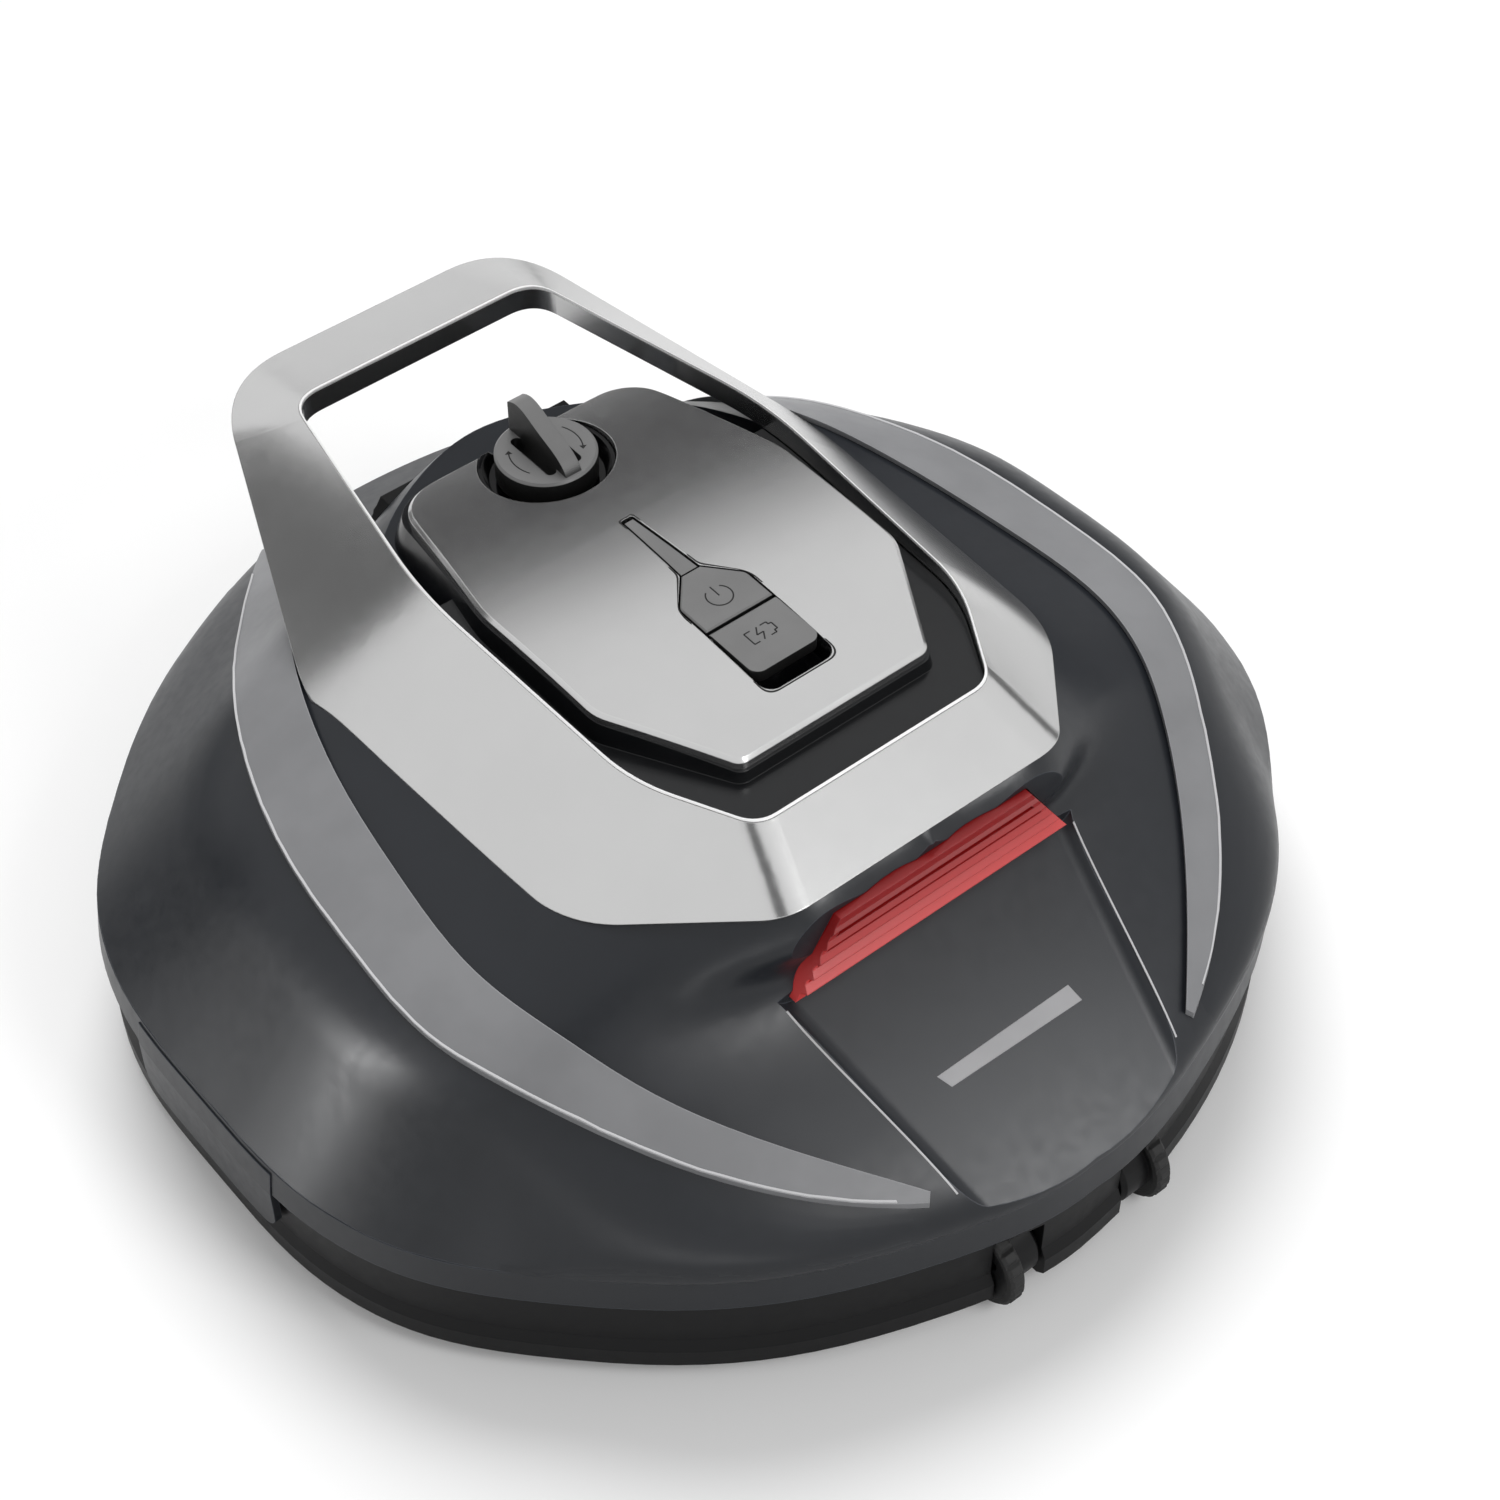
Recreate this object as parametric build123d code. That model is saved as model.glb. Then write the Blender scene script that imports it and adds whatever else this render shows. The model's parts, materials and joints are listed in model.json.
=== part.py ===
from build123d import *
from math import atan2, cos, hypot, sin
import os

# Cordless pool cleaning robot, in millimetres. +Z is up, the front outlet looks towards -Y, and the
# origin is on the floor under the middle of the body. Heights are drawn from the base's floor plate and
# every piece is lifted onto the ground when it is written.
GROUND_Z = -6.0

# Body shell; PAST is how far a cutting block reaches past the form that it cuts
RIM_HALF_WIDTH = 202.5
RIM_HALF_LENGTH = 201.5
EDGE_Z = 37.0
RIM_Z = 49.0
WAIST_Z = 75.0
SHOULDER_Z = 100.0
COLLAR_Z = 117.0
CROWN_Z = 134.0
EDGE_FLARE = 1.5
SHELL_WALL = 3.0
PAST = 40.0

# Outlet scoops and grilles, the same at the front and at the rear
SCOOP_BACK_Y = 119.0
SCOOP_TOP_HALF_WIDTH = 64.0
SCOOP_MOUTH_Y = 192.0
SCOOP_MOUTH_HALF_WIDTH = 49.0
SCOOP_MOUTH_Z = 57.0
SCOOP_BACK_Z = 96.0
SCOOP_TOP_Z = 129.0
SCOOP_FLOOR_RADIUS = 8.0
GRILLE_LOW_Z = 98.5
GRILLE_HIGH_Z = 126.0
GRILLE_LOW_HALF_WIDTH = 57.5
GRILLE_HIGH_HALF_WIDTH = 40.0
GRILLE_DEPTH = 6.0
GRILLE_FRAME = 2.4
GRILLE_RIBS = 5
GRILLE_SLOT = 1.8
GRILLE_NOSE = 2.6

# Grey stripes on the shoulders
TRIM_PROUD = 1.5

# Carrying handle: inner and outer edge of its sloping band
HANDLE_FRONT_Y = 91.8
HANDLE_REAR_Y = 153.5
HANDLE_FRONT_DROP = 25.0
HANDLE_REAR_BAR = 32.1
HANDLE_DEPTH = 10.0
HANDLE_EDGE = 3.0
HANDLE_CHAMFER = 1.1

# Control panel and the base that carries it
PANEL_FRONT_Y = 72.9
PANEL_REAR_Y = 96.0
PANEL_HALF_WIDTH = 62.8
PANEL_THICKNESS = 4.0
PANEL_BEVEL = 1.2
PANEL_ARCH_RADIUS = 620.0
PANEL_CREST_Y = -8.0
PANEL_CREST_Z = 157.0
LEDGE_Z = 145.5
PEDESTAL_FLARE = 6.5
PEDESTAL_SKIRT = 8.0
PEDESTAL_WALL = 3.0
DECK_REAR_Y = 48.0
SLIP = 0.3

# Power button, charge cap and indicator in the panel's slot
SLOT_GAP = 0.8
BUTTON_HALF_WIDTH = 13.6
BUTTON_FRONT_Y = -25.4
BUTTON_REAR_Y = -0.6
CAP_HINGE_Y = -28.2
CAP_HINGE_RADIUS = 2.2
CAP_PIN_RADIUS = 1.0
CAP_PIN_REACH = 2.0
CAP_FRONT_Y = -50.0
CAP_THICKNESS = 4.4
SLOT_FRONT_Y = -57.0
KEY_TOP_Z = 157.3
KEY_DEPTH = 6.0
STEM_TIP_Y = 32.8
STEM_TIP_HALF_WIDTH = 1.7
STEM_FOOT_HALF_WIDTH = 3.3
BUTTON_TRAVEL = 1.5
WELL_DEPTH = 6.5
SOCKET_RADIUS = 5.0
SOCKET_BORE = 3.2
SOCKET_PIN = 1.0
SWITCH_WIDTH = 8.0

# Locking knob, its seat and its shaft
KNOB_Y = 77.3
KNOB_RADIUS = 17.6
KNOB_FACE_Z = 155.5
KNOB_HEIGHT = 9.5
FIN_HEIGHT = 14.0
FIN_THICKNESS = 6.4
FIN_INSET = 1.2
FIN_TOP_ROUND = 2.0
KNOB_CHAMFER = 0.8
GROOVE_WIDTH = 4.0
GROOVE_DEPTH = 6.0
DISH_RADIUS = 23.4
DISH_RIM_Z = 148.9
DISH_DEPTH = 5.5
SEAT_FLANGE = 2.0
SEAT_GUIDE = 7.0
SEAT_LEDGE = 3.0
SEAT_WALL = 3.0
SEAT_RIM = 1.4
SEAT_ROOM = 2.2
LOCK_SHAFT_RADIUS = 6.0
LOCK_BAR_REACH = 11.0
LOCK_BAR_WIDTH = 8.0
LOCK_BAR_HEIGHT = 6.0
LOCK_CUP_RADIUS = 13.0
LOCK_CUP_FLOOR_Z = 40.0
LOCK_CUP_DEPTH = 12.0
LOCK_CUP_WALL = 3.0
SHAFT_HOLE_GAP = 2.0
RUN = 0.05

# Pump housing, hung under the crown
HOUSING_HALF_WIDTH = 66.0
HOUSING_HALF_LENGTH = 58.0
HOUSING_FLOOR_Z = 68.0
HOUSING_TOP_Z = 121.0
HOUSING_WALL = 2.5
HOUSING_CORNER = 8.0
LID_THICKNESS = 3.0
GASKET_THICKNESS = 1.0
PUMP_X = 36.0
PUMP_Z = 96.0
MOTOR_RADIUS = 19.0
MOTOR_LENGTH = 46.0
MOTOR_SHAFT_RADIUS = 2.5
SHAFT_REACH_IN = 20.0
SEAL_RADIUS = 5.0
ROTOR_RADIUS = 18.0
ROTOR_HUB_RADIUS = 6.0
ROTOR_LENGTH = 12.0
ROTOR_BLADES = 3
ROTOR_BLADE_THICKNESS = 1.8
ROTOR_BLADE_PITCH = 35.0
ROTOR_Y = 78.0
DUCT_RADIUS = 19.5
DUCT_WALL = 2.0
DUCT_STRAIGHT_Y = 92.0
DUCT_WINDOW = 9.0
DUCT_MOUTH = (56.0, 16.0)
DUCT_MOUTH_Z = 105.0
DUCT_MOUTH_CORNER = 6.0
DUCT_GAP = 7.0
BATTERY = (46.0, 50.0, 40.0)
BOARD = (46.0, 48.0, 1.6)
BOARD_STANDOFF = 9.0
STANDOFF_RADIUS = 2.5
LID_SCREW_INSET = 10.0

# Base tray
BASE_FLOOR_Z = 0.0
BASE_FLOOR = 3.0
BASE_WALL = 3.0
BASE_INSET = 3.5
BASE_FOOT_INSET = 4.5
BASE_FOOT_Z = 2.5
BASE_BAND_INSET = 1.5
BASE_BAND_Z = 10.0
BASE_KNEE_Z = 14.5
BASE_SPIGOT = 8.5
BASE_SPIGOT_INSET = 5.0

# Side panels that hang past the shell's edge
SIDE_PANEL_HALF_LENGTH = 39.0
SIDE_PANEL_LOW_Z = 17.0
SIDE_PANEL_PROUD = 0.5
SIDE_PANEL_THICKNESS = 2.6
SIDE_PANEL_STEP = 2.0
SIDE_PANEL_CORNER = 7.0
SIDE_PANEL_TOP_CORNER = 0.5

# Wheels
WHEEL_RADIUS = 18.0
WHEEL_Y = 187.0
WHEEL_X = 27.0
WHEEL_WIDTH = 17.0
TYRE_WIDTH = 6.0
TYRE_DEPTH = 3.0
TREAD_RADIUS = 13.0
AXLE_RADIUS = 3.0
WHEEL_SIDE_GAP = 0.8
WHEEL_PITS = 5
WHEEL_PIT_RADIUS = 2.2
WHEEL_PIT_REACH = 9.2
WHEEL_POCKET_GAP = 2.5
POCKET_WALL = 3.0

# Suction inlets and their flaps
INLET_Y = 45.0
INLET_HALF_LENGTH = 60.0
INLET_HALF_WIDTH = 11.0
INLET_DUCT_WALL = 2.5
INLET_DUCT_TOP_Z = 8.0
FLAP_THICKNESS = 2.0
FLAP_OVERLAP = 1.5
FLAP_PIN_RADIUS = 1.5
FLAP_KNUCKLE_RADIUS = 3.0
FLAP_LUG_WIDTH = 4.0

# Filter tray
FILTER_HALF_WIDTH = 100.0
FILTER_HALF_LENGTH = 60.0
FILTER_FLOOR_Z = 44.0
FILTER_HEIGHT = 18.0
FILTER_WALL = 2.5
FILTER_BAR = 5.0
FILTER_POST_RADIUS = 5.0
FILTER_CORNER = 10.0
FILTER_COLUMNS = 4
FILTER_ROWS = 2
FILTER_BORDER = 19.0
SCREEN_THICKNESS = 0.8

# Rubber wipers under the base
WIPER_Y = 118.0
WIPER_HALF_LENGTH = 82.0
WIPER_THICKNESS = 3.0
WIPER_TIP_Z = -4.5
WIPER_SHOE = 3.0

# Fasteners
SCREW_RADIUS = 2.0
SCREW_HEAD_RADIUS = 3.6
SCREW_HEAD_HEIGHT = 2.4
SCREW_LENGTH = 9.0
BOSS_RADIUS = 5.0

# Shell outlines, right half, from the front centre to the rear centre, drawn at the rim size below
DRAWN_HALF_WIDTH = 202.5
DRAWN_HALF_LENGTH = 201.5
RIM_LINE = [
    (0, -201.5), (57, -191), (103, -171), (131, -151.5), (158, -126), (186, -91), (200.5, -48),
    (202.5, 0), (200.5, 48), (186, 91), (158, 126), (131, 151.5), (103, 171), (57, 191), (0, 201.5),
]
WAIST_LINE = [
    (0, -169), (57, -162.5), (102, -150), (131, -133), (150, -112), (169, -80), (178.5, -45),
    (179, 0), (177, 35), (169, 66), (150, 97), (134, 114), (104, 138), (62, 161), (0, 172),
]
SHOULDER_LINE = [
    (0, -124), (64, -118.5), (92, -111), (118, -100), (138, -84), (149, -66), (154, -45),
    (154.5, 0), (150, 34), (141, 57), (129, 79), (114, 97), (91, 113), (60, 124), (0, 129),
]
COLLAR_LINE = [
    (0, -122), (56, -119), (70, -111), (84, -98), (94, -83), (100, -66), (101.5, -40),
    (102.5, 0), (104, 30), (104.5, 55), (98, 77), (87, 94), (70, 108), (48, 118), (0, 125),
]
CROWN_LINE = [
    (0, -115), (48, -112), (59, -99), (67, -84), (73, -71), (78.5, -56), (82, -31),
    (83, 0), (84, 28), (83, 48), (77, 67), (66, 85), (50, 101), (30, 113), (0, 121),
]
# Outer and inner edge of the right stripe, front to rear
STRIPE_OUTER = [
    (57, -186), (102, -152), (135, -106), (152, -66), (153, -25),
    (146, 30), (131, 75), (103, 125), (55, 187),
]
STRIPE_INNER = [
    (55, -184), (94, -141), (118.5, -102), (130, -62), (127.5, -15),
    (119, 35), (104, 80), (80, 125), (53, 185),
]


def scaled(line):
    """Outline points moved to the real rim size."""
    across = RIM_HALF_WIDTH / DRAWN_HALF_WIDTH
    along = RIM_HALF_LENGTH / DRAWN_HALF_LENGTH
    return [(x * across, y * along) for x, y in line]


def both_sides(half):
    """A closed ring of points from its right half."""
    return half + [(-x, y) for x, y in reversed(half) if x > 0]


def grown(ring, by):
    """Ring points moved outwards by a distance."""
    moved = []
    for i, (x, y) in enumerate(ring):
        before = ring[i - 1]
        after = ring[(i + 1) % len(ring)]
        run_x = after[0] - before[0]
        run_y = after[1] - before[1]
        length = hypot(run_x, run_y)
        moved.append((x + by * run_y / length, y - by * run_x / length))
    return moved


def level(line, by, z):
    """A smooth closed face through an outline, grown by a distance, at a height."""
    ring = grown(both_sides(scaled(line)), by)
    wire = Wire([Spline(*[(x, y, z) for x, y in ring], periodic=True)])
    return Face(wire)


def prism(points, radius, low, high):
    """An upright block over a plan outline with rounded corners."""
    face = Face(Wire(FilletPolyline(*points, radius=radius, close=True).edges()))
    return Pos(0, 0, low) * extrude(face, high - low, dir=(0, 0, 1))


def dome(by):
    """The body's outer form, grown by a distance in plan and in height."""
    lines = [RIM_LINE, WAIST_LINE, SHOULDER_LINE, COLLAR_LINE, CROWN_LINE]
    heights = [RIM_Z, WAIST_Z, SHOULDER_Z, COLLAR_Z, CROWN_Z]
    upper = loft([level(line, by, z + by) for line, z in zip(lines, heights)])
    edge = level(RIM_LINE, by + EDGE_FLARE, EDGE_Z + min(by, 0))
    band = loft([edge, level(RIM_LINE, by, RIM_Z + by)], ruled=True)
    return upper + band


def scoop(by):
    """The wedge cut out of the front of the dome for the outlet, grown by a distance."""
    slope = (SCOOP_BACK_Z - SCOOP_MOUTH_Z) / (SCOOP_MOUTH_Y - SCOOP_BACK_Y)
    narrowing = (SCOOP_TOP_HALF_WIDTH - SCOOP_MOUTH_HALF_WIDTH) / (SCOOP_MOUTH_Y - SCOOP_BACK_Y)
    end_y = RIM_HALF_LENGTH + PAST / 2
    back_y = SCOOP_BACK_Y - by
    fall = by * hypot(1, slope)
    floor_back = SCOOP_BACK_Z + slope * by - fall
    floor_end = SCOOP_BACK_Z - slope * (end_y - SCOOP_BACK_Y) - fall
    top = SCOOP_TOP_Z + by
    side = Polyline((-back_y, top), (-back_y, floor_back), (-end_y, floor_end), (-end_y, top), close=True)
    wedge = extrude(Plane.YZ * make_face(side), SCOOP_TOP_HALF_WIDTH * 2, both=True)
    wide = SCOOP_TOP_HALF_WIDTH + by
    narrow = wide - narrowing * (end_y - back_y)
    plan = Polyline((-wide, -back_y), (wide, -back_y), (narrow, -end_y), (-narrow, -end_y), close=True)
    block = extrude(make_face(plan), CROWN_Z + PAST, dir=(0, 0, 1))
    cut = wedge & block
    floor_edges = [e for e in cut.edges() if is_floor_side(e)]
    return fillet(floor_edges, SCOOP_FLOOR_RADIUS + by)


def is_floor_side(edge):
    """True for the two long edges where the scoop's floor meets its side walls."""
    run = edge.end_point() - edge.start_point()
    return abs(run.Z) > 20 and abs(run.Y) > 50


def rear(piece):
    """The matching piece at the other end of the body."""
    return mirror(piece, Plane.XZ)


def turned(piece):
    """The matching piece half a turn round the body's middle."""
    return Rot(0, 0, 180) * piece


def grille_outline(inset, front, back):
    """The outlet's tapered block between two depths."""
    low = GRILLE_LOW_HALF_WIDTH - inset
    high = GRILLE_HIGH_HALF_WIDTH - inset
    z0 = GRILLE_LOW_Z + inset
    z1 = GRILLE_HIGH_Z - inset
    face = make_face(Polyline((-low, z0), (low, z0), (high, z1), (-high, z1), close=True))
    return extrude(Plane.XZ.offset(back) * face, front - back)


def make_grille():
    """A red louvred grille: a frame with ribs across it that step forwards towards the bottom."""
    back = SCOOP_BACK_Y - SHELL_WALL
    front = back + GRILLE_DEPTH
    body = grille_outline(SLIP, front, back)
    inside = grille_outline(SLIP + GRILLE_FRAME, front + 1, back - 1)
    pitch = (GRILLE_HIGH_Z - GRILLE_LOW_Z - 2 * GRILLE_FRAME) / GRILLE_RIBS
    wide = GRILLE_LOW_HALF_WIDTH * 2
    limit = grille_outline(SLIP, front + GRILLE_NOSE * 2, back)
    for i in range(GRILLE_RIBS):
        z = GRILLE_LOW_Z + GRILLE_FRAME + pitch * (i + 1)
        slot = Pos(0, -(front + back) / 2, z) * Box(wide, GRILLE_DEPTH * 2, GRILLE_SLOT)
        if i < GRILLE_RIBS - 1:
            body -= slot & inside
        reach = GRILLE_NOSE * (1 - i / GRILLE_RIBS)
        low_z = z - pitch + GRILLE_SLOT / 2
        high_z = z - GRILLE_SLOT / 2
        tip = (-front - reach, (low_z * 2 + high_z) / 3)
        nose = Polyline((-front, low_z), tip, (-front, high_z), close=True)
        body += extrude(Plane.YZ * make_face(nose), wide / 2, both=True) & limit
    return body


def make_top_shell(outer):
    """Moulded dome, open below, with a scoop and an outlet at each end."""
    hollow = dome(-SHELL_WALL)
    for end in (lambda piece: piece, rear):
        outer = outer - end(scoop(0))
        hollow = hollow - end(scoop(SHELL_WALL))
    shell = outer - hollow
    outlet = grille_outline(0, SCOOP_BACK_Y + GRILLE_DEPTH, SCOOP_BACK_Y - GRILLE_DEPTH)
    shell -= outlet
    shell -= rear(outlet)
    shell -= Pos(0, KNOB_Y, CROWN_Z) * Cylinder(LOCK_SHAFT_RADIUS + SHAFT_HOLE_GAP, SHELL_WALL * 4)
    notch = Box(RIM_HALF_WIDTH * 3, (SIDE_PANEL_HALF_LENGTH + SLIP) * 2, notch_top_z() * 2)
    shell -= notch
    boss_low = lid_z() + LID_THICKNESS
    boss_high = CROWN_Z - SHELL_WALL / 2
    boss = Pos(0, 0, (boss_low + boss_high) / 2) * Cylinder(BOSS_RADIUS, boss_high - boss_low)
    bosses = [Pos(x, y, 0) * boss for x, y in lid_points()]
    pilots = [Pos(x, y, lid_z()) * Cylinder(SCREW_RADIUS, SCREW_LENGTH * 2) for x, y in lid_points()]
    return shell + bosses - pilots


def notch_top_z():
    """Top of the notch in the shell's edge that a side panel stands in."""
    return (EDGE_Z + RIM_Z) / 2 - SIDE_PANEL_STEP


def stripe_plan():
    """Block over the right stripe's plan."""
    outer = Spline(*scaled(STRIPE_OUTER))
    inner = Spline(*scaled(STRIPE_INNER))
    ends = [Line(outer @ 0, inner @ 0), Line(outer @ 1, inner @ 1)]
    face = make_face([outer, inner] + ends)
    return extrude(face, CROWN_Z, dir=(0, 0, 1))


def make_trim(outer, plan):
    """One grey stripe, laid on the dome's shoulder."""
    return (dome(TRIM_PROUD) & plan) - outer


def handle_corners():
    """Inner and outer corner points of the handle's band, right half, front to rear."""
    inner = [
        (47.2, -HANDLE_FRONT_Y, 148.5),
        (67.4, -56.1, 151.7),
        (71.8, 48.0, 156.0),
        (51.2, HANDLE_REAR_Y, 154.4),
    ]
    outer = [
        (56.4, -HANDLE_FRONT_Y - HANDLE_FRONT_DROP, 133.4),
        (101.6, -65.6, 117.2),
        (110.6, 62.5, 112.4),
        (61.7, HANDLE_REAR_Y + HANDLE_REAR_BAR, 147.0),
    ]
    return inner, outer


# Rounding at the corners, front to rear: how far along each side it starts, inside and outside
INSIDE_ROUND = [7, 14, 20, 11]
OUTSIDE_ROUND = [9, 18, 20, 26]


def ring_radii(radii):
    return radii + radii[::-1]


def plan_of(corners):
    return both_sides([(x, y) for x, y, z in corners])


def handle_lines():
    """The five edge lines round the handle's section: corner points of the right half and their rounding."""
    inner, outer = handle_corners()
    lines = [[], [], [], [], []]
    for a, b in zip(inner, outer):
        top = Vector(*a)
        rim = Vector(*b)
        slope = (rim - top).normalized()
        lines[0].append(top - Vector(0, 0, HANDLE_CHAMFER))
        lines[1].append(top + slope * HANDLE_CHAMFER)
        lines[2].append(rim)
        lines[3].append(rim - slope * HANDLE_EDGE / 2 - Vector(0, 0, HANDLE_EDGE))
        lines[4].append(top - Vector(0, 0, HANDLE_DEPTH))
    rounds = [INSIDE_ROUND, INSIDE_ROUND, OUTSIDE_ROUND, OUTSIDE_ROUND, INSIDE_ROUND]
    return list(zip(lines, rounds))


def ring_edges(half, rounds):
    """Edges of a closed ring in space with softened corners, from its right half."""
    corners = half + [Vector(-p.X, p.Y, p.Z) for p in reversed(half)]
    reach = rounds + rounds[::-1]
    starts = []
    ends = []
    for i, corner in enumerate(corners):
        before = corners[i - 1]
        after = corners[(i + 1) % len(corners)]
        starts.append(corner + (before - corner).normalized() * reach[i])
        ends.append(corner + (after - corner).normalized() * reach[i])
    edges = []
    for i, corner in enumerate(corners):
        edges.append(Bezier(starts[i], corner, ends[i]))
        edges.append(Line(ends[i], starts[(i + 1) % len(corners)]))
    return edges


def make_handle(outer_dome, trims):
    """Carrying handle: a sloping band round the panel that lifts off the dome as a loop behind it."""
    rings = [ring_edges(half, rounds) for half, rounds in handle_lines()]
    faces = []
    for i, ring in enumerate(rings):
        neighbour = rings[(i + 1) % len(rings)]
        faces += [Face.make_surface_from_curves(a, b) for a, b in zip(ring, neighbour)]
    band = Solid(Shell(faces)).fix()
    band = band - outer_dome - trims
    return max(band.solids(), key=lambda solid: solid.volume)


def panel_ring(by):
    """Plan of the control panel, grown by a distance."""
    half = [
        (38.4, -PANEL_FRONT_Y),
        (PANEL_HALF_WIDTH - 0.6, -30.3),
        (PANEL_HALF_WIDTH, 28.0),
        (49.5, PANEL_REAR_Y),
    ]
    return grown_polygon(both_sides(half), by)


def grown_polygon(ring, by):
    """A convex polygon with every side moved outwards by a distance."""
    moved = []
    for i, here in enumerate(ring):
        before = ring[i - 1]
        after = ring[(i + 1) % len(ring)]
        turn_in = atan2(here[1] - before[1], here[0] - before[0])
        turn_out = atan2(after[1] - here[1], after[0] - here[0])
        middle = (sin(turn_in) + sin(turn_out), -cos(turn_in) - cos(turn_out))
        length = hypot(*middle)
        reach = by / cos((turn_out - turn_in) / 2) if length else by
        moved.append((here[0] + abs(reach) * middle[0] / length * (1 if by > 0 else -1),
                      here[1] + abs(reach) * middle[1] / length * (1 if by > 0 else -1)))
    return moved


PANEL_RADII = [5, 16, 50, 18]


def panel_z(y):
    """Height of the panel's arched top over the middle line."""
    return PANEL_CREST_Z - PANEL_ARCH_RADIUS + (PANEL_ARCH_RADIUS**2 - (y - PANEL_CREST_Y) ** 2) ** 0.5


def under_panel_top(drop):
    """Everything below the panel's gently arched top, lowered by a drop."""
    roll = Rot(0, 90, 0) * Cylinder(PANEL_ARCH_RADIUS - drop, PANEL_HALF_WIDTH * 4)
    length = (PANEL_FRONT_Y + PANEL_REAR_Y) * 2
    room = Pos(0, 0, CROWN_Z) * Box(PANEL_HALF_WIDTH * 4, length, PAST * 2)
    return Pos(0, PANEL_CREST_Y, PANEL_CREST_Z - PANEL_ARCH_RADIUS) * roll & room


def slot_outline(by):
    """Bottle-shaped plan of the slot round the indicator, the button and the charge cap."""
    half = [
        (BUTTON_HALF_WIDTH + by, SLOT_FRONT_Y),
        (BUTTON_HALF_WIDTH + by, -12.0),
        (STEM_FOOT_HALF_WIDTH + by, 0.0),
        (STEM_TIP_HALF_WIDTH + by, STEM_TIP_Y + by),
    ]
    return both_sides(half)


SLOT_RADII = [5, 4, 2, 1.2]


def key_blank(low_y, high_y, z0, z1):
    """A piece of the slot's plan between two ends, for a key that sits in it."""
    blank = prism(slot_outline(0), ring_radii(SLOT_RADII), z0, z1)
    length = high_y - low_y
    return blank & Pos(0, (low_y + high_y) / 2, (z0 + z1) / 2) * Box(RIM_HALF_WIDTH, length, z1 - z0)


def make_top_panel():
    """Arched control panel with a slot for the keys and a round opening for the knob."""
    plate = under_panel_top(0) - under_panel_top(PANEL_THICKNESS)
    plate &= prism(panel_ring(0), ring_radii(PANEL_RADII), CROWN_Z, CROWN_Z + PAST)
    broad_faces = plate.faces().sort_by(SortBy.AREA)[-2:]
    plate = chamfer(broad_faces.sort_by(Axis.Z)[-1].outer_wire().edges(), PANEL_BEVEL)
    plate -= prism(slot_outline(SLOT_GAP), ring_radii(SLOT_RADII), CROWN_Z, CROWN_Z + PAST)
    plate -= Pos(0, KNOB_Y, CROWN_Z) * Cylinder(DISH_RADIUS + SLIP, PAST * 2)
    for side in (-1, 1):
        x = side * (BUTTON_HALF_WIDTH + SLOT_GAP + CAP_PIN_REACH / 2)
        hole = Rot(0, 90, 0) * Cylinder(CAP_PIN_RADIUS + RUN, CAP_PIN_REACH + 2)
        plate -= Pos(x, CAP_HINGE_Y, cap_hinge_z()) * hole
    return plate


def cap_hinge_z():
    return KEY_TOP_Z - CAP_HINGE_RADIUS


def panel_face(by, z):
    """Plan face of the panel's outline, grown by a distance, at a height."""
    wire = FilletPolyline(*panel_ring(by), radius=ring_radii(PANEL_RADII), close=True)
    return Pos(0, 0, z) * Face(Wire(wire.edges()))


def deck_plan():
    """Plan face of the deck, just inside the handle's inner edge."""
    inner, _ = handle_corners()
    ring = grown_polygon(plan_of(inner), -SLIP)
    half = [Vector(x, y, 0) for x, y in ring[: len(inner)]]
    return Face(Wire(ring_edges(half, INSIDE_ROUND)))


def make_panel_base(outer_dome):
    """Dark deck inside the handle and the flared pedestal under the panel."""
    deck = Pos(0, 0, CROWN_Z) * extrude(deck_plan(), LEDGE_Z - CROWN_Z, dir=(0, 0, 1))
    deck -= Pos(0, DECK_REAR_Y + RIM_HALF_LENGTH / 2, CROWN_Z) * Box(RIM_HALF_WIDTH, RIM_HALF_LENGTH, PAST)
    low_z = CROWN_Z - PEDESTAL_SKIRT
    high_z = PANEL_CREST_Z + 1
    pedestal = loft([panel_face(PEDESTAL_FLARE, low_z), panel_face(-PANEL_BEVEL, high_z)], ruled=True)
    pedestal &= under_panel_top(PANEL_THICKNESS)
    body = deck + pedestal - outer_dome
    cavity = prism(panel_ring(-PEDESTAL_WALL), ring_radii(PANEL_RADII), CROWN_Z - 1, CROWN_Z + PAST)
    cavity &= under_panel_top(PANEL_THICKNESS + WELL_DEPTH + PEDESTAL_WALL)
    well = prism(slot_outline(SLOT_GAP), ring_radii(SLOT_RADII), CROWN_Z, CROWN_Z + PAST)
    well -= under_panel_top(PANEL_THICKNESS + WELL_DEPTH)
    bore = Pos(0, KNOB_Y, CROWN_Z) * Cylinder(DISH_RADIUS - SEAT_LEDGE, PAST * 2)
    seat_low = seat_floor_z() - SEAT_FLANGE
    recess = Pos(0, KNOB_Y, seat_low + PAST / 2) * Cylinder(DISH_RADIUS + SLIP, PAST)
    return body - [cavity, well, bore, recess]


def seat_floor_z():
    return DISH_RIM_Z - DISH_DEPTH


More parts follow.
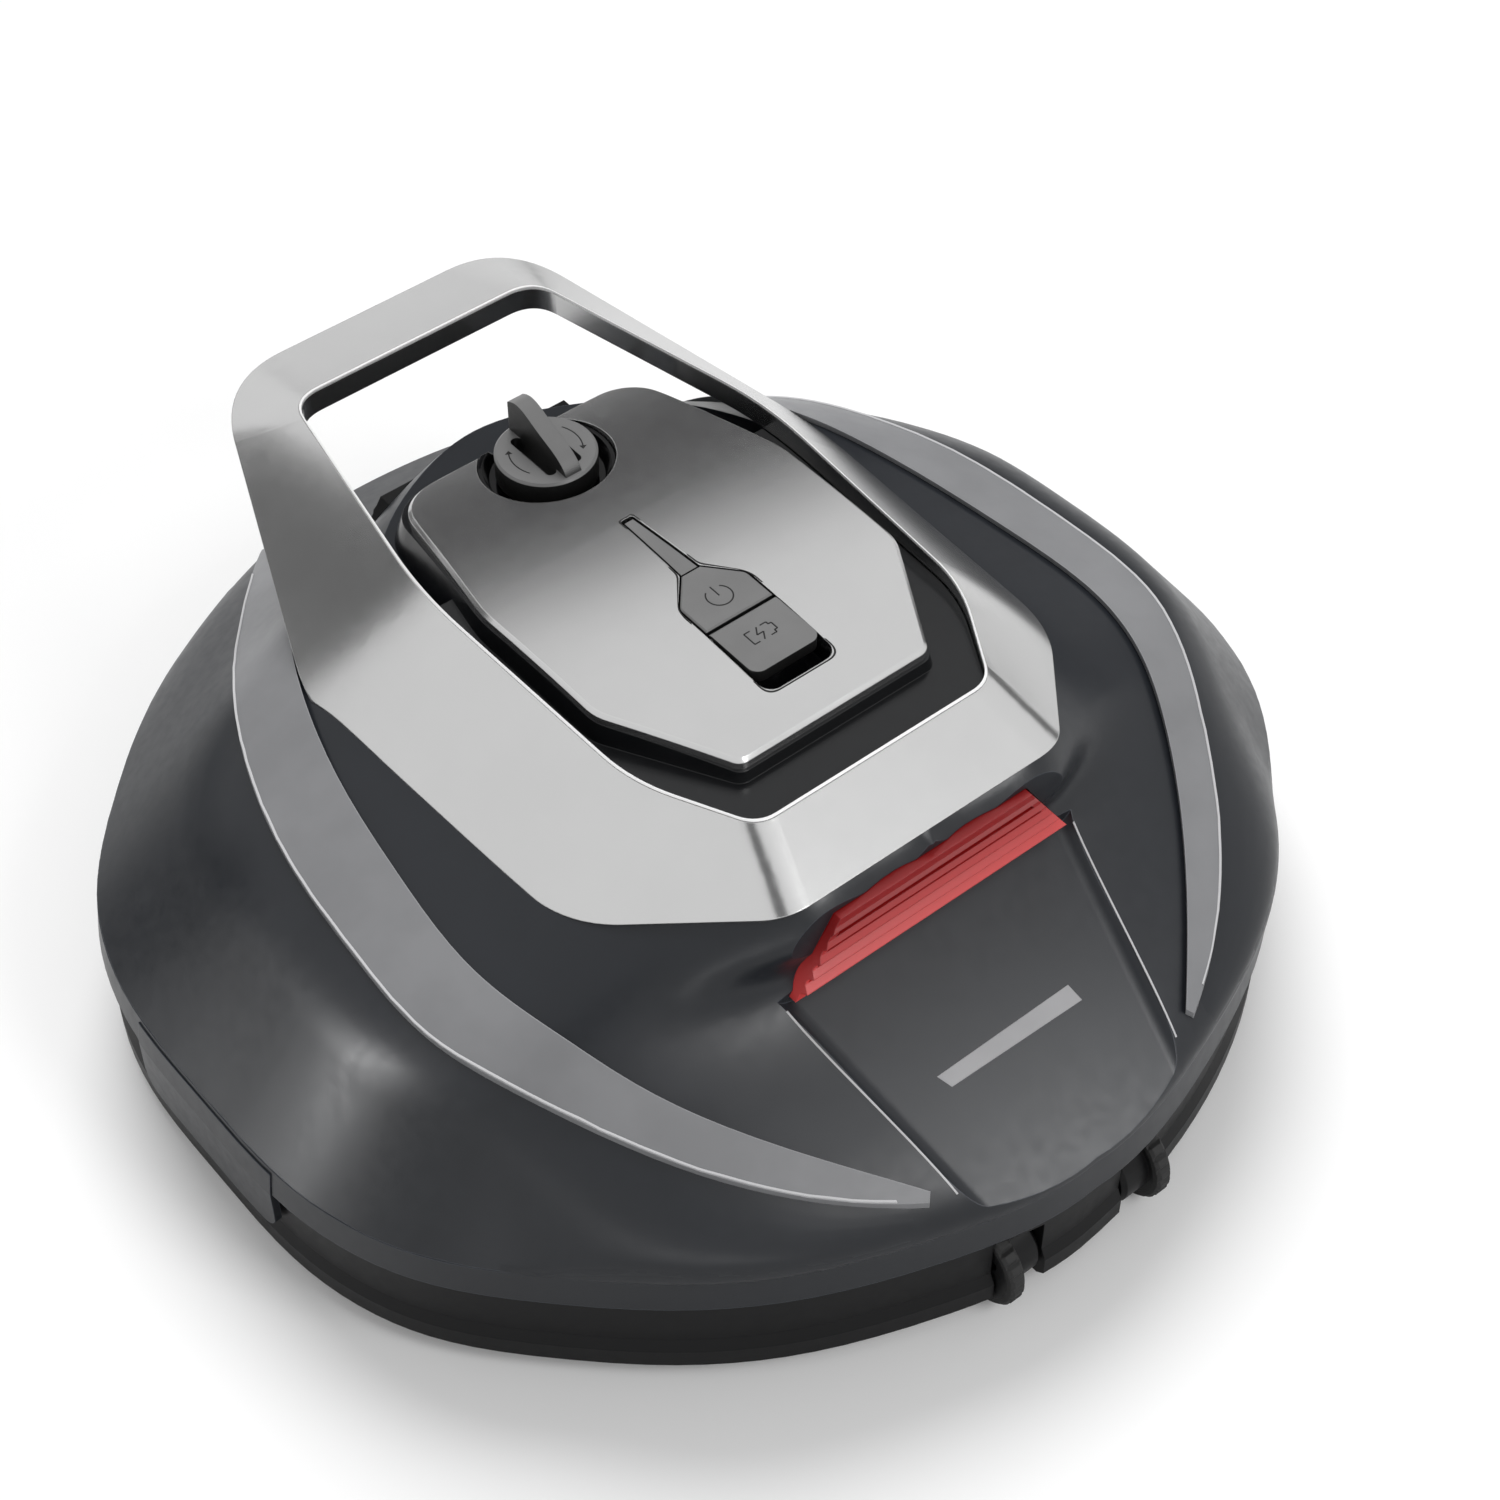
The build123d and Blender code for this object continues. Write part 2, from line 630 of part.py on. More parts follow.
def make_knob_seat():
    """Black dish in the panel that the knob stands in, with the shaft's guide below."""
    floor_z = seat_floor_z()
    low_z = floor_z - SEAT_FLANGE
    guide = LOCK_SHAFT_RADIUS + RUN
    sleeve = LOCK_SHAFT_RADIUS + SEAT_WALL
    profile = Polyline(
        (guide, low_z - SEAT_GUIDE),
        (sleeve, low_z - SEAT_GUIDE),
        (sleeve, low_z),
        (DISH_RADIUS, low_z),
        (DISH_RADIUS, DISH_RIM_Z),
        (DISH_RADIUS - SEAT_RIM, DISH_RIM_Z),
        (KNOB_RADIUS + SEAT_ROOM, floor_z),
        (guide, floor_z),
        close=True,
    )
    dish = Pos(0, KNOB_Y, 0) * revolve(Plane.XZ * make_face(profile), Axis.Z)
    plan = prism(panel_ring(0), ring_radii(PANEL_RADII), EDGE_Z, CROWN_Z + PAST)
    return dish & plan & under_panel_top(SLIP)


def make_knob():
    """Turning knob: a round cap with a finger fin between two scooped grooves."""
    low = KNOB_FACE_Z - KNOB_HEIGHT
    body = Pos(0, 0, low + KNOB_HEIGHT / 2) * Cylinder(KNOB_RADIUS, KNOB_HEIGHT)
    body = chamfer(body.edges().sort_by(Axis.Z)[-1], KNOB_CHAMFER)
    for side in (-1, 1):
        x = side * (FIN_THICKNESS + GROOVE_WIDTH) / 2
        body -= Pos(x, 0, KNOB_FACE_Z) * knob_groove(KNOB_RADIUS * 1.3)
    reach = KNOB_RADIUS - FIN_INSET
    tip_z = KNOB_FACE_Z + FIN_HEIGHT - FIN_TOP_ROUND
    toe_z = KNOB_FACE_Z - FIN_TOP_ROUND
    back = Spline(
        (reach, tip_z),
        (reach * 0.7, KNOB_FACE_Z + FIN_HEIGHT),
        (0, KNOB_FACE_Z + FIN_HEIGHT * 0.72),
        (-reach * 0.83, KNOB_FACE_Z + FIN_HEIGHT * 0.22),
        (-reach, toe_z),
    )
    foot = Polyline((-reach, toe_z), (-reach, low + 1), (reach, low + 1), (reach, tip_z))
    fin_side = make_face([back] + foot.edges())
    fin = extrude(Plane.YZ * fin_side, FIN_THICKNESS / 2, both=True)
    body += fin
    return Pos(0, KNOB_Y, 0) * body


def knob_groove(length):
    """A round-ended groove along Y, cut down from its top."""
    bar = Box(GROOVE_WIDTH, length, GROOVE_DEPTH * 2)
    return fillet(bar.edges().filter_by(Axis.Z), GROOVE_WIDTH * 0.48)


def make_lock_shaft():
    """Shaft from the knob down to a cross-bar in the base's lock cup."""
    top = KNOB_FACE_Z - KNOB_HEIGHT
    bar_z = LOCK_CUP_FLOOR_Z + 1
    shaft = Pos(0, 0, (top + bar_z) / 2) * Cylinder(LOCK_SHAFT_RADIUS, top - bar_z)
    bar = Pos(0, 0, bar_z + LOCK_BAR_HEIGHT / 2) * Box(LOCK_BAR_REACH * 2, LOCK_BAR_WIDTH, LOCK_BAR_HEIGHT)
    return Pos(0, KNOB_Y, 0) * (shaft + bar)


def make_lock_cup():
    """Round cup on a post of the base that the knob's cross-bar turns in."""
    low = BASE_FLOOR_Z + BASE_FLOOR
    post = Pos(0, 0, (low + LOCK_CUP_FLOOR_Z) / 2) * Cylinder(LOCK_CUP_RADIUS, LOCK_CUP_FLOOR_Z - low)
    cup = Pos(0, 0, LOCK_CUP_FLOOR_Z + (LOCK_CUP_DEPTH - LOCK_CUP_WALL) / 2)
    ring = cup * Cylinder(LOCK_CUP_RADIUS + LOCK_CUP_WALL, LOCK_CUP_DEPTH + LOCK_CUP_WALL)
    hollow = Cylinder(LOCK_CUP_RADIUS, LOCK_CUP_DEPTH + 0.01)
    hollow = Pos(0, 0, LOCK_CUP_FLOOR_Z + LOCK_CUP_DEPTH / 2) * hollow
    return Pos(0, KNOB_Y, 0) * (post + ring - hollow)


def make_power_button():
    button = key_blank(BUTTON_FRONT_Y, BUTTON_REAR_Y, KEY_TOP_Z - KEY_DEPTH, KEY_TOP_Z)
    return chamfer(button.edges().group_by(Axis.Z)[-1], 0.5)


def make_indicator():
    strip = key_blank(BUTTON_REAR_Y + SLOT_GAP, STEM_TIP_Y - SLOT_GAP, KEY_TOP_Z - 9, KEY_TOP_Z + 5)
    return strip & under_panel_top(0.4)


def make_charge_cap():
    """Hinged cover over the charge socket, with its pins in the panel."""
    low = KEY_TOP_Z - CAP_THICKNESS
    lid = key_blank(CAP_FRONT_Y, CAP_HINGE_Y, low, KEY_TOP_Z)
    front = [e for e in lid.edges().filter_by(Axis.Z) if e.center().Y < CAP_FRONT_Y + 1]
    lid = fillet(front, 4.0)
    axis = Pos(0, CAP_HINGE_Y, cap_hinge_z()) * Rot(0, 90, 0)
    knuckle = axis * Cylinder(CAP_HINGE_RADIUS, BUTTON_HALF_WIDTH * 2)
    pin_length = (BUTTON_HALF_WIDTH + SLOT_GAP + CAP_PIN_REACH - SLIP) * 2
    return lid + knuckle + axis * Cylinder(CAP_PIN_RADIUS, pin_length)


def under_well_floor():
    """Everything below the floor of the key well."""
    return under_panel_top(PANEL_THICKNESS + WELL_DEPTH)


def make_charge_socket():
    """Round charging socket with a centre pin, standing in the key well."""
    y = (CAP_FRONT_Y + CAP_HINGE_Y) / 2 - 1
    low = panel_z(y) - PANEL_THICKNESS - WELL_DEPTH - 2
    high = KEY_TOP_Z - CAP_THICKNESS - 0.8
    height = high - low
    ring = Cylinder(SOCKET_RADIUS, height) - Pos(0, 0, height / 2) * Cylinder(SOCKET_BORE, 6)
    pin = Pos(0, 0, -0.5) * Cylinder(SOCKET_PIN, height - 1)
    return Pos(0, y, (low + high) / 2) * (ring + pin) - under_well_floor()


def make_power_switch():
    """Small push switch under the button."""
    y = (BUTTON_FRONT_Y + BUTTON_REAR_Y) / 2
    low = panel_z(y) - PANEL_THICKNESS - WELL_DEPTH - 2
    high = KEY_TOP_Z - KEY_DEPTH - BUTTON_TRAVEL - SLIP
    return Pos(0, y, (low + high) / 2) * Box(SWITCH_WIDTH, SWITCH_WIDTH, high - low) - under_well_floor()


def make_pump_housing():
    """Sealed tub for the motors, the battery and the board."""
    height = HOUSING_TOP_Z - HOUSING_FLOOR_Z
    tub = Box(HOUSING_HALF_WIDTH * 2, HOUSING_HALF_LENGTH * 2, height)
    tub = fillet(tub.edges().filter_by(Axis.Z), HOUSING_CORNER)
    tub = Pos(0, 0, HOUSING_FLOOR_Z + height / 2) * tub
    inner = Box((HOUSING_HALF_WIDTH - HOUSING_WALL) * 2, (HOUSING_HALF_LENGTH - HOUSING_WALL) * 2, height)
    inner = fillet(inner.edges().filter_by(Axis.Z), HOUSING_CORNER - HOUSING_WALL)
    tub -= Pos(0, 0, HOUSING_FLOOR_Z + HOUSING_WALL + height / 2) * inner
    hole = Rot(90, 0, 0) * Cylinder(SEAL_RADIUS, HOUSING_WALL * 3)
    tub -= Pos(-PUMP_X, -HOUSING_HALF_LENGTH, PUMP_Z) * hole
    tub -= Pos(PUMP_X, HOUSING_HALF_LENGTH, PUMP_Z) * hole
    for x, y in board_corners():
        z = HOUSING_FLOOR_Z + HOUSING_WALL
        tub += Pos(x, y, z + BOARD_STANDOFF / 2) * Cylinder(STANDOFF_RADIUS, BOARD_STANDOFF)
    return tub


def board_centre():
    return -PUMP_X - 2, HOUSING_HALF_LENGTH - HOUSING_WALL - BOARD[1] / 2 - 2


def board_corners():
    x, y = board_centre()
    reach_x = BOARD[0] / 2 - 4
    reach_y = BOARD[1] / 2 - 4
    return [(x + a * reach_x, y + b * reach_y) for a in (-1, 1) for b in (-1, 1)]


def make_control_board():
    """Circuit board with a few parts on it."""
    x, y = board_centre()
    z = HOUSING_FLOOR_Z + HOUSING_WALL + BOARD_STANDOFF
    board = Pos(x, y, z + BOARD[2] / 2) * Box(*BOARD)
    top = z + BOARD[2]
    board += Pos(x - 8, y - 6, top + 1.5) * Box(14, 14, 3)
    board += Pos(x + 12, y + 8, top + 5) * Cylinder(5, 10)
    board += Pos(x + 12, y - 10, top + 3) * Box(10, 16, 6)
    return board


def make_battery():
    """Battery pack: two rows of cells in a sleeve."""
    x = PUMP_X + 2
    y = -(HOUSING_HALF_LENGTH - HOUSING_WALL - BATTERY[1] / 2 - 1)
    z = HOUSING_FLOOR_Z + HOUSING_WALL + BATTERY[2] / 2
    pack = Box(*BATTERY)
    pack = fillet(pack.edges().filter_by(Axis.Y), 6)
    return Pos(x, y, z) * pack


def lid_points():
    reach_x = HOUSING_HALF_WIDTH - LID_SCREW_INSET
    reach_y = HOUSING_HALF_LENGTH - LID_SCREW_INSET
    return [(a * reach_x, b * reach_y) for a in (-1, 1) for b in (-1, 1)]


def lid_z():
    return HOUSING_TOP_Z + GASKET_THICKNESS


def make_pump_lid():
    """Lid of the pump housing, screwed up against the shell's bosses."""
    lid = Box(HOUSING_HALF_WIDTH * 2, HOUSING_HALF_LENGTH * 2, LID_THICKNESS)
    lid = fillet(lid.edges().filter_by(Axis.Z), HOUSING_CORNER)
    holes = [Pos(x, y, 0) * Cylinder(SCREW_RADIUS + RUN, LID_THICKNESS * 2) for x, y in lid_points()]
    return Pos(0, 0, lid_z() + LID_THICKNESS / 2) * (lid - holes)


def make_gasket():
    """Rubber seal between the tub and its lid."""
    ring = Box(HOUSING_HALF_WIDTH * 2, HOUSING_HALF_LENGTH * 2, GASKET_THICKNESS)
    ring = fillet(ring.edges().filter_by(Axis.Z), HOUSING_CORNER)
    inner = Box((HOUSING_HALF_WIDTH - HOUSING_WALL) * 2, (HOUSING_HALF_LENGTH - HOUSING_WALL) * 2, 4)
    ring -= fillet(inner.edges().filter_by(Axis.Z), HOUSING_CORNER - HOUSING_WALL)
    return Pos(0, 0, HOUSING_TOP_Z + GASKET_THICKNESS / 2) * ring


def make_motor():
    """Front pump motor, a can with an end boss, bored for its rotor's shaft."""
    front = -(HOUSING_HALF_LENGTH - HOUSING_WALL)
    can = Pos(0, MOTOR_LENGTH / 2, 0) * Rot(90, 0, 0) * Cylinder(MOTOR_RADIUS, MOTOR_LENGTH)
    can = chamfer(can.edges().sort_by(Axis.Y)[-1], 3)
    can += Pos(0, MOTOR_LENGTH + 2, 0) * Rot(90, 0, 0) * Cylinder(6, 4)
    bore = Rot(90, 0, 0) * Cylinder(MOTOR_SHAFT_RADIUS + RUN, SHAFT_REACH_IN + 1)
    can -= Pos(0, SHAFT_REACH_IN / 2, 0) * bore
    return Pos(-PUMP_X, front, PUMP_Z) * can


def make_seal():
    """Lip seal for the motor shaft in the tub's wall."""
    ring = Cylinder(SEAL_RADIUS - RUN, HOUSING_WALL) - Cylinder(MOTOR_SHAFT_RADIUS + RUN, HOUSING_WALL * 2)
    middle = -(HOUSING_HALF_LENGTH - HOUSING_WALL / 2)
    return Pos(-PUMP_X, middle, PUMP_Z) * Rot(90, 0, 0) * ring


def make_rotor():
    """Front pump's propeller with its shaft."""
    tail = SHAFT_REACH_IN - 1
    seat = HOUSING_HALF_LENGTH - HOUSING_WALL
    shaft_length = ROTOR_Y - seat + tail
    hub = Cylinder(ROTOR_HUB_RADIUS, ROTOR_LENGTH)
    hub = fillet(hub.edges().sort_by(Axis.Z)[-1], ROTOR_HUB_RADIUS * 0.6)
    body = hub + Pos(0, 0, -shaft_length / 2) * Cylinder(MOTOR_SHAFT_RADIUS, shaft_length)
    blade_length = ROTOR_RADIUS - ROTOR_HUB_RADIUS / 2
    blade = Box(blade_length, ROTOR_BLADE_THICKNESS, ROTOR_LENGTH * 0.95)
    blade = Pos(ROTOR_RADIUS - blade_length / 2, 0, 0) * Rot(ROTOR_BLADE_PITCH, 0, 0) * blade
    sweep = Cylinder(ROTOR_RADIUS, ROTOR_LENGTH)
    for i in range(ROTOR_BLADES):
        body += Rot(0, 0, 360 / ROTOR_BLADES * i) * (blade & sweep)
    return Pos(-PUMP_X, -ROTOR_Y, PUMP_Z) * Rot(90, 0, 0) * body


def duct_end_y():
    return SCOOP_BACK_Y - SHELL_WALL - DUCT_GAP


def duct_form(by, back_y):
    """Outlet duct: a tube round the rotor that widens to the grille, grown by a distance."""
    tube_face = Plane(origin=(-PUMP_X, -back_y, PUMP_Z), z_dir=(0, -1, 0)) * Circle(DUCT_RADIUS + by)
    tube = extrude(tube_face, DUCT_STRAIGHT_Y - back_y)
    throat = Plane(origin=(-PUMP_X, -DUCT_STRAIGHT_Y, PUMP_Z), z_dir=(0, -1, 0)) * Circle(DUCT_RADIUS + by)
    mouth_plane = Plane(origin=(0, -duct_end_y(), DUCT_MOUTH_Z), z_dir=(0, -1, 0), x_dir=(1, 0, 0))
    wide, high = DUCT_MOUTH
    mouth = mouth_plane * RectangleRounded(wide + by * 2, high + by * 2, DUCT_MOUTH_CORNER + by)
    return tube + loft([throat, mouth])


def make_duct():
    """Front outlet duct with three windows round its root for the water to come in."""
    back = HOUSING_HALF_LENGTH
    cuts = [duct_form(0, back - 1)]
    root = Plane(origin=(-PUMP_X, -back - 4 - DUCT_WINDOW / 2, PUMP_Z), z_dir=(0, -1, 0))
    for angle in (30, 150, 270):
        window = Pos(DUCT_RADIUS, 0, 0) * Box(DUCT_RADIUS, DUCT_WINDOW * 2, DUCT_WINDOW)
        cuts.append(root * (Rot(0, 0, angle) * window))
    return duct_form(DUCT_WALL, back) - cuts


def base_outline(inset, z):
    return level(RIM_LINE, EDGE_FLARE - inset, z)


def base_form():
    """Filled outer form of the base tray, with the spigot that stands inside the shell."""
    foot = base_outline(BASE_FOOT_INSET, BASE_FLOOR_Z)
    band_low = base_outline(BASE_BAND_INSET, BASE_FOOT_Z)
    band_high = base_outline(BASE_BAND_INSET, BASE_BAND_Z)
    knee = base_outline(BASE_INSET, BASE_KNEE_Z)
    top = base_outline(BASE_INSET, EDGE_Z - SLIP)
    spigot = extrude(base_outline(BASE_SPIGOT_INSET, BASE_KNEE_Z), base_top_z() - BASE_KNEE_Z, dir=(0, 0, 1))
    return loft([foot, band_low, band_high, knee, top], ruled=True) + spigot


def base_top_z():
    return EDGE_Z - SLIP + BASE_SPIGOT


def base_hollow():
    """Room inside the base tray, before anything stands in it."""
    low = BASE_FLOOR_Z + BASE_FLOOR
    return extrude(base_outline(BASE_SPIGOT_INSET + BASE_WALL, low), base_top_z() - low + 1, dir=(0, 0, 1))


def wheel_places():
    return [(a * WHEEL_X, b * WHEEL_Y) for b in (-1, 1) for a in (-1, 1)]


def wheel_z():
    return GROUND_Z + WHEEL_RADIUS


def pocket(by):
    """Room for one wheel, grown by a wall, round the wheel's middle."""
    half_width = WHEEL_WIDTH / 2 + WHEEL_SIDE_GAP + by
    reach = WHEEL_RADIUS + WHEEL_POCKET_GAP + by
    low = BASE_FLOOR_Z - 1 - wheel_z()
    box = Pos(0, 0, (low + reach) / 2) * Box(half_width * 2, reach * 2, reach - low)
    round_room = Rot(0, 90, 0) * Cylinder(reach, half_width * 2)
    below = Pos(0, 0, low / 2) * Box(half_width * 2, reach * 2, -low)
    return (box & round_room) + below


def make_base_tray():
    """Lower housing: floor, side walls, a spigot inside the shell, wheel pockets and inlet ducts."""
    standing = []
    cuts = []
    shoes = []
    for x, y in wheel_places():
        middle = Pos(x, y, wheel_z())
        standing.append(middle * pocket(POCKET_WALL))
        cuts.append(middle * pocket(0))
        cuts.append(middle * Rot(0, 90, 0) * Cylinder(AXLE_RADIUS, axle_length()))
    duct_height = INLET_DUCT_TOP_Z - BASE_FLOOR_Z
    for side in (-1, 1):
        duct_width = (INLET_HALF_WIDTH + INLET_DUCT_WALL) * 2
        outside = Box((INLET_HALF_LENGTH + INLET_DUCT_WALL) * 2, duct_width, duct_height)
        standing.append(Pos(0, side * INLET_Y, BASE_FLOOR_Z + duct_height / 2) * outside)
        standing += flap_lugs(side)
        opening = Box(INLET_HALF_LENGTH * 2, INLET_HALF_WIDTH * 2, duct_height * 3)
        cuts.append(Pos(0, side * INLET_Y, BASE_FLOOR_Z) * opening)
        y, z = flap_pin_place(side)
        cuts.append(Pos(0, y, z) * Rot(0, 90, 0) * Cylinder(FLAP_PIN_RADIUS, flap_pin_length()))
        shoe = Box((WIPER_HALF_LENGTH + WIPER_SHOE) * 2, WIPER_THICKNESS + WIPER_SHOE * 2, WIPER_SHOE)
        shoes.append(Pos(0, side * WIPER_Y, BASE_FLOOR_Z - WIPER_SHOE / 2) * shoe)
        groove = Box(WIPER_HALF_LENGTH * 2, WIPER_THICKNESS, WIPER_SHOE * 2)
        cuts.append(Pos(0, side * WIPER_Y, BASE_FLOOR_Z - WIPER_SHOE) * groove)
    for x, y in filter_posts():
        post = Cylinder(FILTER_POST_RADIUS, FILTER_FLOOR_Z - BASE_FLOOR_Z)
        standing.append(Pos(x, y, (BASE_FLOOR_Z + FILTER_FLOOR_Z) / 2) * post)
        cuts.append(Pos(x, y, BASE_FLOOR_Z) * Cylinder(SCREW_RADIUS, SCREW_LENGTH * 2))
        cuts.append(Pos(x, y, BASE_FLOOR_Z) * Cylinder(SCREW_HEAD_RADIUS, SCREW_HEAD_HEIGHT * 2))
    room = base_hollow() - standing
    return (base_form() + shoes) - ([room] + cuts)


def filter_posts():
    reach_x = FILTER_HALF_WIDTH - 10
    reach_y = FILTER_HALF_LENGTH - 8
    return [(a * reach_x, b * reach_y) for a in (-1, 1) for b in (-1, 1)]


def axle_length():
    return WHEEL_WIDTH + WHEEL_SIDE_GAP * 2 + POCKET_WALL * 2


def make_axles():
    axle = Rot(0, 90, 0) * Cylinder(AXLE_RADIUS, axle_length())
    return [Pos(x, y, wheel_z()) * axle for x, y in wheel_places()]


def wheel_profile_hub(side):
    """Wheel with a tall disc on its outer side and a narrow tread drum beside it."""
    rim = WHEEL_RADIUS - TYRE_DEPTH
    half = WHEEL_WIDTH / 2
    disc = Pos(half - TYRE_WIDTH / 2, 0, 0) * Rot(0, 90, 0) * Cylinder(rim, TYRE_WIDTH)
    drum = Rot(0, 90, 0) * Cylinder(TREAD_RADIUS, WHEEL_WIDTH)
    drum = chamfer(drum.edges().sort_by(Axis.X)[0], 1.5)
    body = disc + drum - Rot(0, 90, 0) * Cylinder(AXLE_RADIUS + RUN, WHEEL_WIDTH + 2)
    pit = Pos(half, WHEEL_PIT_REACH, 0) * Rot(0, 90, 0) * Cylinder(WHEEL_PIT_RADIUS, TYRE_WIDTH)
    for i in range(WHEEL_PITS):
        body -= Rot(360 / WHEEL_PITS * i, 0, 0) * pit
    return body if side > 0 else mirror(body, Plane.YZ)


def wheel_profile_tyre(side):
    half = WHEEL_WIDTH / 2
    ring = Cylinder(WHEEL_RADIUS, TYRE_WIDTH) - Cylinder(WHEEL_RADIUS - TYRE_DEPTH, TYRE_WIDTH * 2)
    ring = Rot(0, 90, 0) * ring
    outside = [e for e in ring.edges().filter_by(GeomType.CIRCLE) if e.radius > WHEEL_RADIUS - 0.1]
    ring = fillet(outside, 1.2)
    return Pos(side * (half - TYRE_WIDTH / 2), 0, 0) * ring


def flap_pin_place(side):
    """Axis of an inlet flap's pin, beside the inlet on the side towards the body's middle."""
    y = side * (INLET_Y - INLET_HALF_WIDTH - INLET_DUCT_WALL - FLAP_KNUCKLE_RADIUS)
    return y, INLET_DUCT_TOP_Z + FLAP_KNUCKLE_RADIUS - FLAP_THICKNESS / 2


def flap_pin_length():
    return (INLET_HALF_LENGTH + FLAP_LUG_WIDTH * 1.5) * 2


def flap_lugs(side):
    """Two lugs on the floor that hold a flap's pin."""
    y, z = flap_pin_place(side)
    lugs = []
    for end in (-1, 1):
        x = end * (INLET_HALF_LENGTH + FLAP_LUG_WIDTH)
        foot = Box(FLAP_LUG_WIDTH, FLAP_KNUCKLE_RADIUS * 2, z - BASE_FLOOR_Z)
        eye = Rot(0, 90, 0) * Cylinder(FLAP_KNUCKLE_RADIUS, FLAP_LUG_WIDTH)
        lugs.append(Pos(x, y, (BASE_FLOOR_Z + z) / 2) * foot + Pos(x, y, z) * eye)
    return lugs


def make_flap(side):
    """Flap that falls shut over an inlet, with a hollow knuckle along one edge."""
    y, z = flap_pin_place(side)
    low = INLET_DUCT_TOP_Z + SLIP
    far = side * (INLET_Y + INLET_HALF_WIDTH + FLAP_OVERLAP)
    half_length = INLET_HALF_LENGTH + FLAP_OVERLAP
    plate = Box(half_length * 2, abs(far - y), FLAP_THICKNESS)
    plate = Pos(0, (y + far) / 2, low + FLAP_THICKNESS / 2) * plate
    knuckle = Rot(0, 90, 0) * Cylinder(FLAP_KNUCKLE_RADIUS - SLIP, half_length * 2)
    bore = Rot(0, 90, 0) * Cylinder(FLAP_PIN_RADIUS + RUN, half_length * 3)
    return plate + Pos(0, y, z) * knuckle - Pos(0, y, z) * bore


def make_flap_pins():
    pins = []
    for side in (-1, 1):
        y, z = flap_pin_place(side)
        pins.append(Pos(0, y, z) * Rot(0, 90, 0) * Cylinder(FLAP_PIN_RADIUS, flap_pin_length()))
    return pins


def make_filter_frame():
    """Open filter tray with a barred floor."""
    tray = Box(FILTER_HALF_WIDTH * 2, FILTER_HALF_LENGTH * 2, FILTER_HEIGHT)
    tray = fillet(tray.edges().filter_by(Axis.Z), FILTER_CORNER)
    inner = Box((FILTER_HALF_WIDTH - FILTER_WALL) * 2, (FILTER_HALF_LENGTH - FILTER_WALL) * 2, FILTER_HEIGHT)
    inner = fillet(inner.edges().filter_by(Axis.Z), FILTER_CORNER - FILTER_WALL)
    tray -= Pos(0, 0, FILTER_WALL) * inner
    inside_x = FILTER_HALF_WIDTH - FILTER_BORDER
    inside_y = FILTER_HALF_LENGTH - FILTER_BORDER
    span_x = (inside_x * 2 - FILTER_BAR * (FILTER_COLUMNS - 1)) / FILTER_COLUMNS
    span_y = (inside_y * 2 - FILTER_BAR * (FILTER_ROWS - 1)) / FILTER_ROWS
    for i in range(FILTER_COLUMNS):
        for j in range(FILTER_ROWS):
            x = -inside_x + span_x / 2 + i * (span_x + FILTER_BAR)
            y = -inside_y + span_y / 2 + j * (span_y + FILTER_BAR)
            tray -= Pos(x, y, 0) * Box(span_x, span_y, FILTER_HEIGHT * 2)
    return Pos(0, 0, FILTER_FLOOR_Z + FILTER_HEIGHT / 2) * tray


def make_filter_screen():
    """Fine screen lying on the tray's bars."""
    half_width = FILTER_HALF_WIDTH - FILTER_WALL - 1
    half_length = FILTER_HALF_LENGTH - FILTER_WALL - 1
    sheet = Box(half_width * 2, half_length * 2, SCREEN_THICKNESS)
    sheet = fillet(sheet.edges().filter_by(Axis.Z), FILTER_CORNER - FILTER_WALL - 0.5)
    return Pos(0, 0, FILTER_FLOOR_Z + FILTER_WALL + SCREEN_THICKNESS / 2) * sheet


def make_wiper(side):
    """Rubber strip held in a groove under the base."""
    top = BASE_FLOOR_Z
    strip = Box(WIPER_HALF_LENGTH * 2 - SLIP, WIPER_THICKNESS - 0.1, top - WIPER_TIP_Z)
    return Pos(0, side * WIPER_Y, (top + WIPER_TIP_Z) / 2) * strip


def make_screw():
    """Screw standing head down at the origin, its shank going up."""
    shank = Pos(0, 0, SCREW_HEAD_HEIGHT + (SCREW_LENGTH - SCREW_HEAD_HEIGHT) / 2)
    shank = shank * Cylinder(SCREW_RADIUS - RUN, SCREW_LENGTH - SCREW_HEAD_HEIGHT)
    head = Pos(0, 0, SCREW_HEAD_HEIGHT / 2) * Cylinder(SCREW_HEAD_RADIUS - RUN, SCREW_HEAD_HEIGHT)
    slot = Box(5, 1, 1.6) + Box(1, 5, 1.6)
    return head + shank - slot


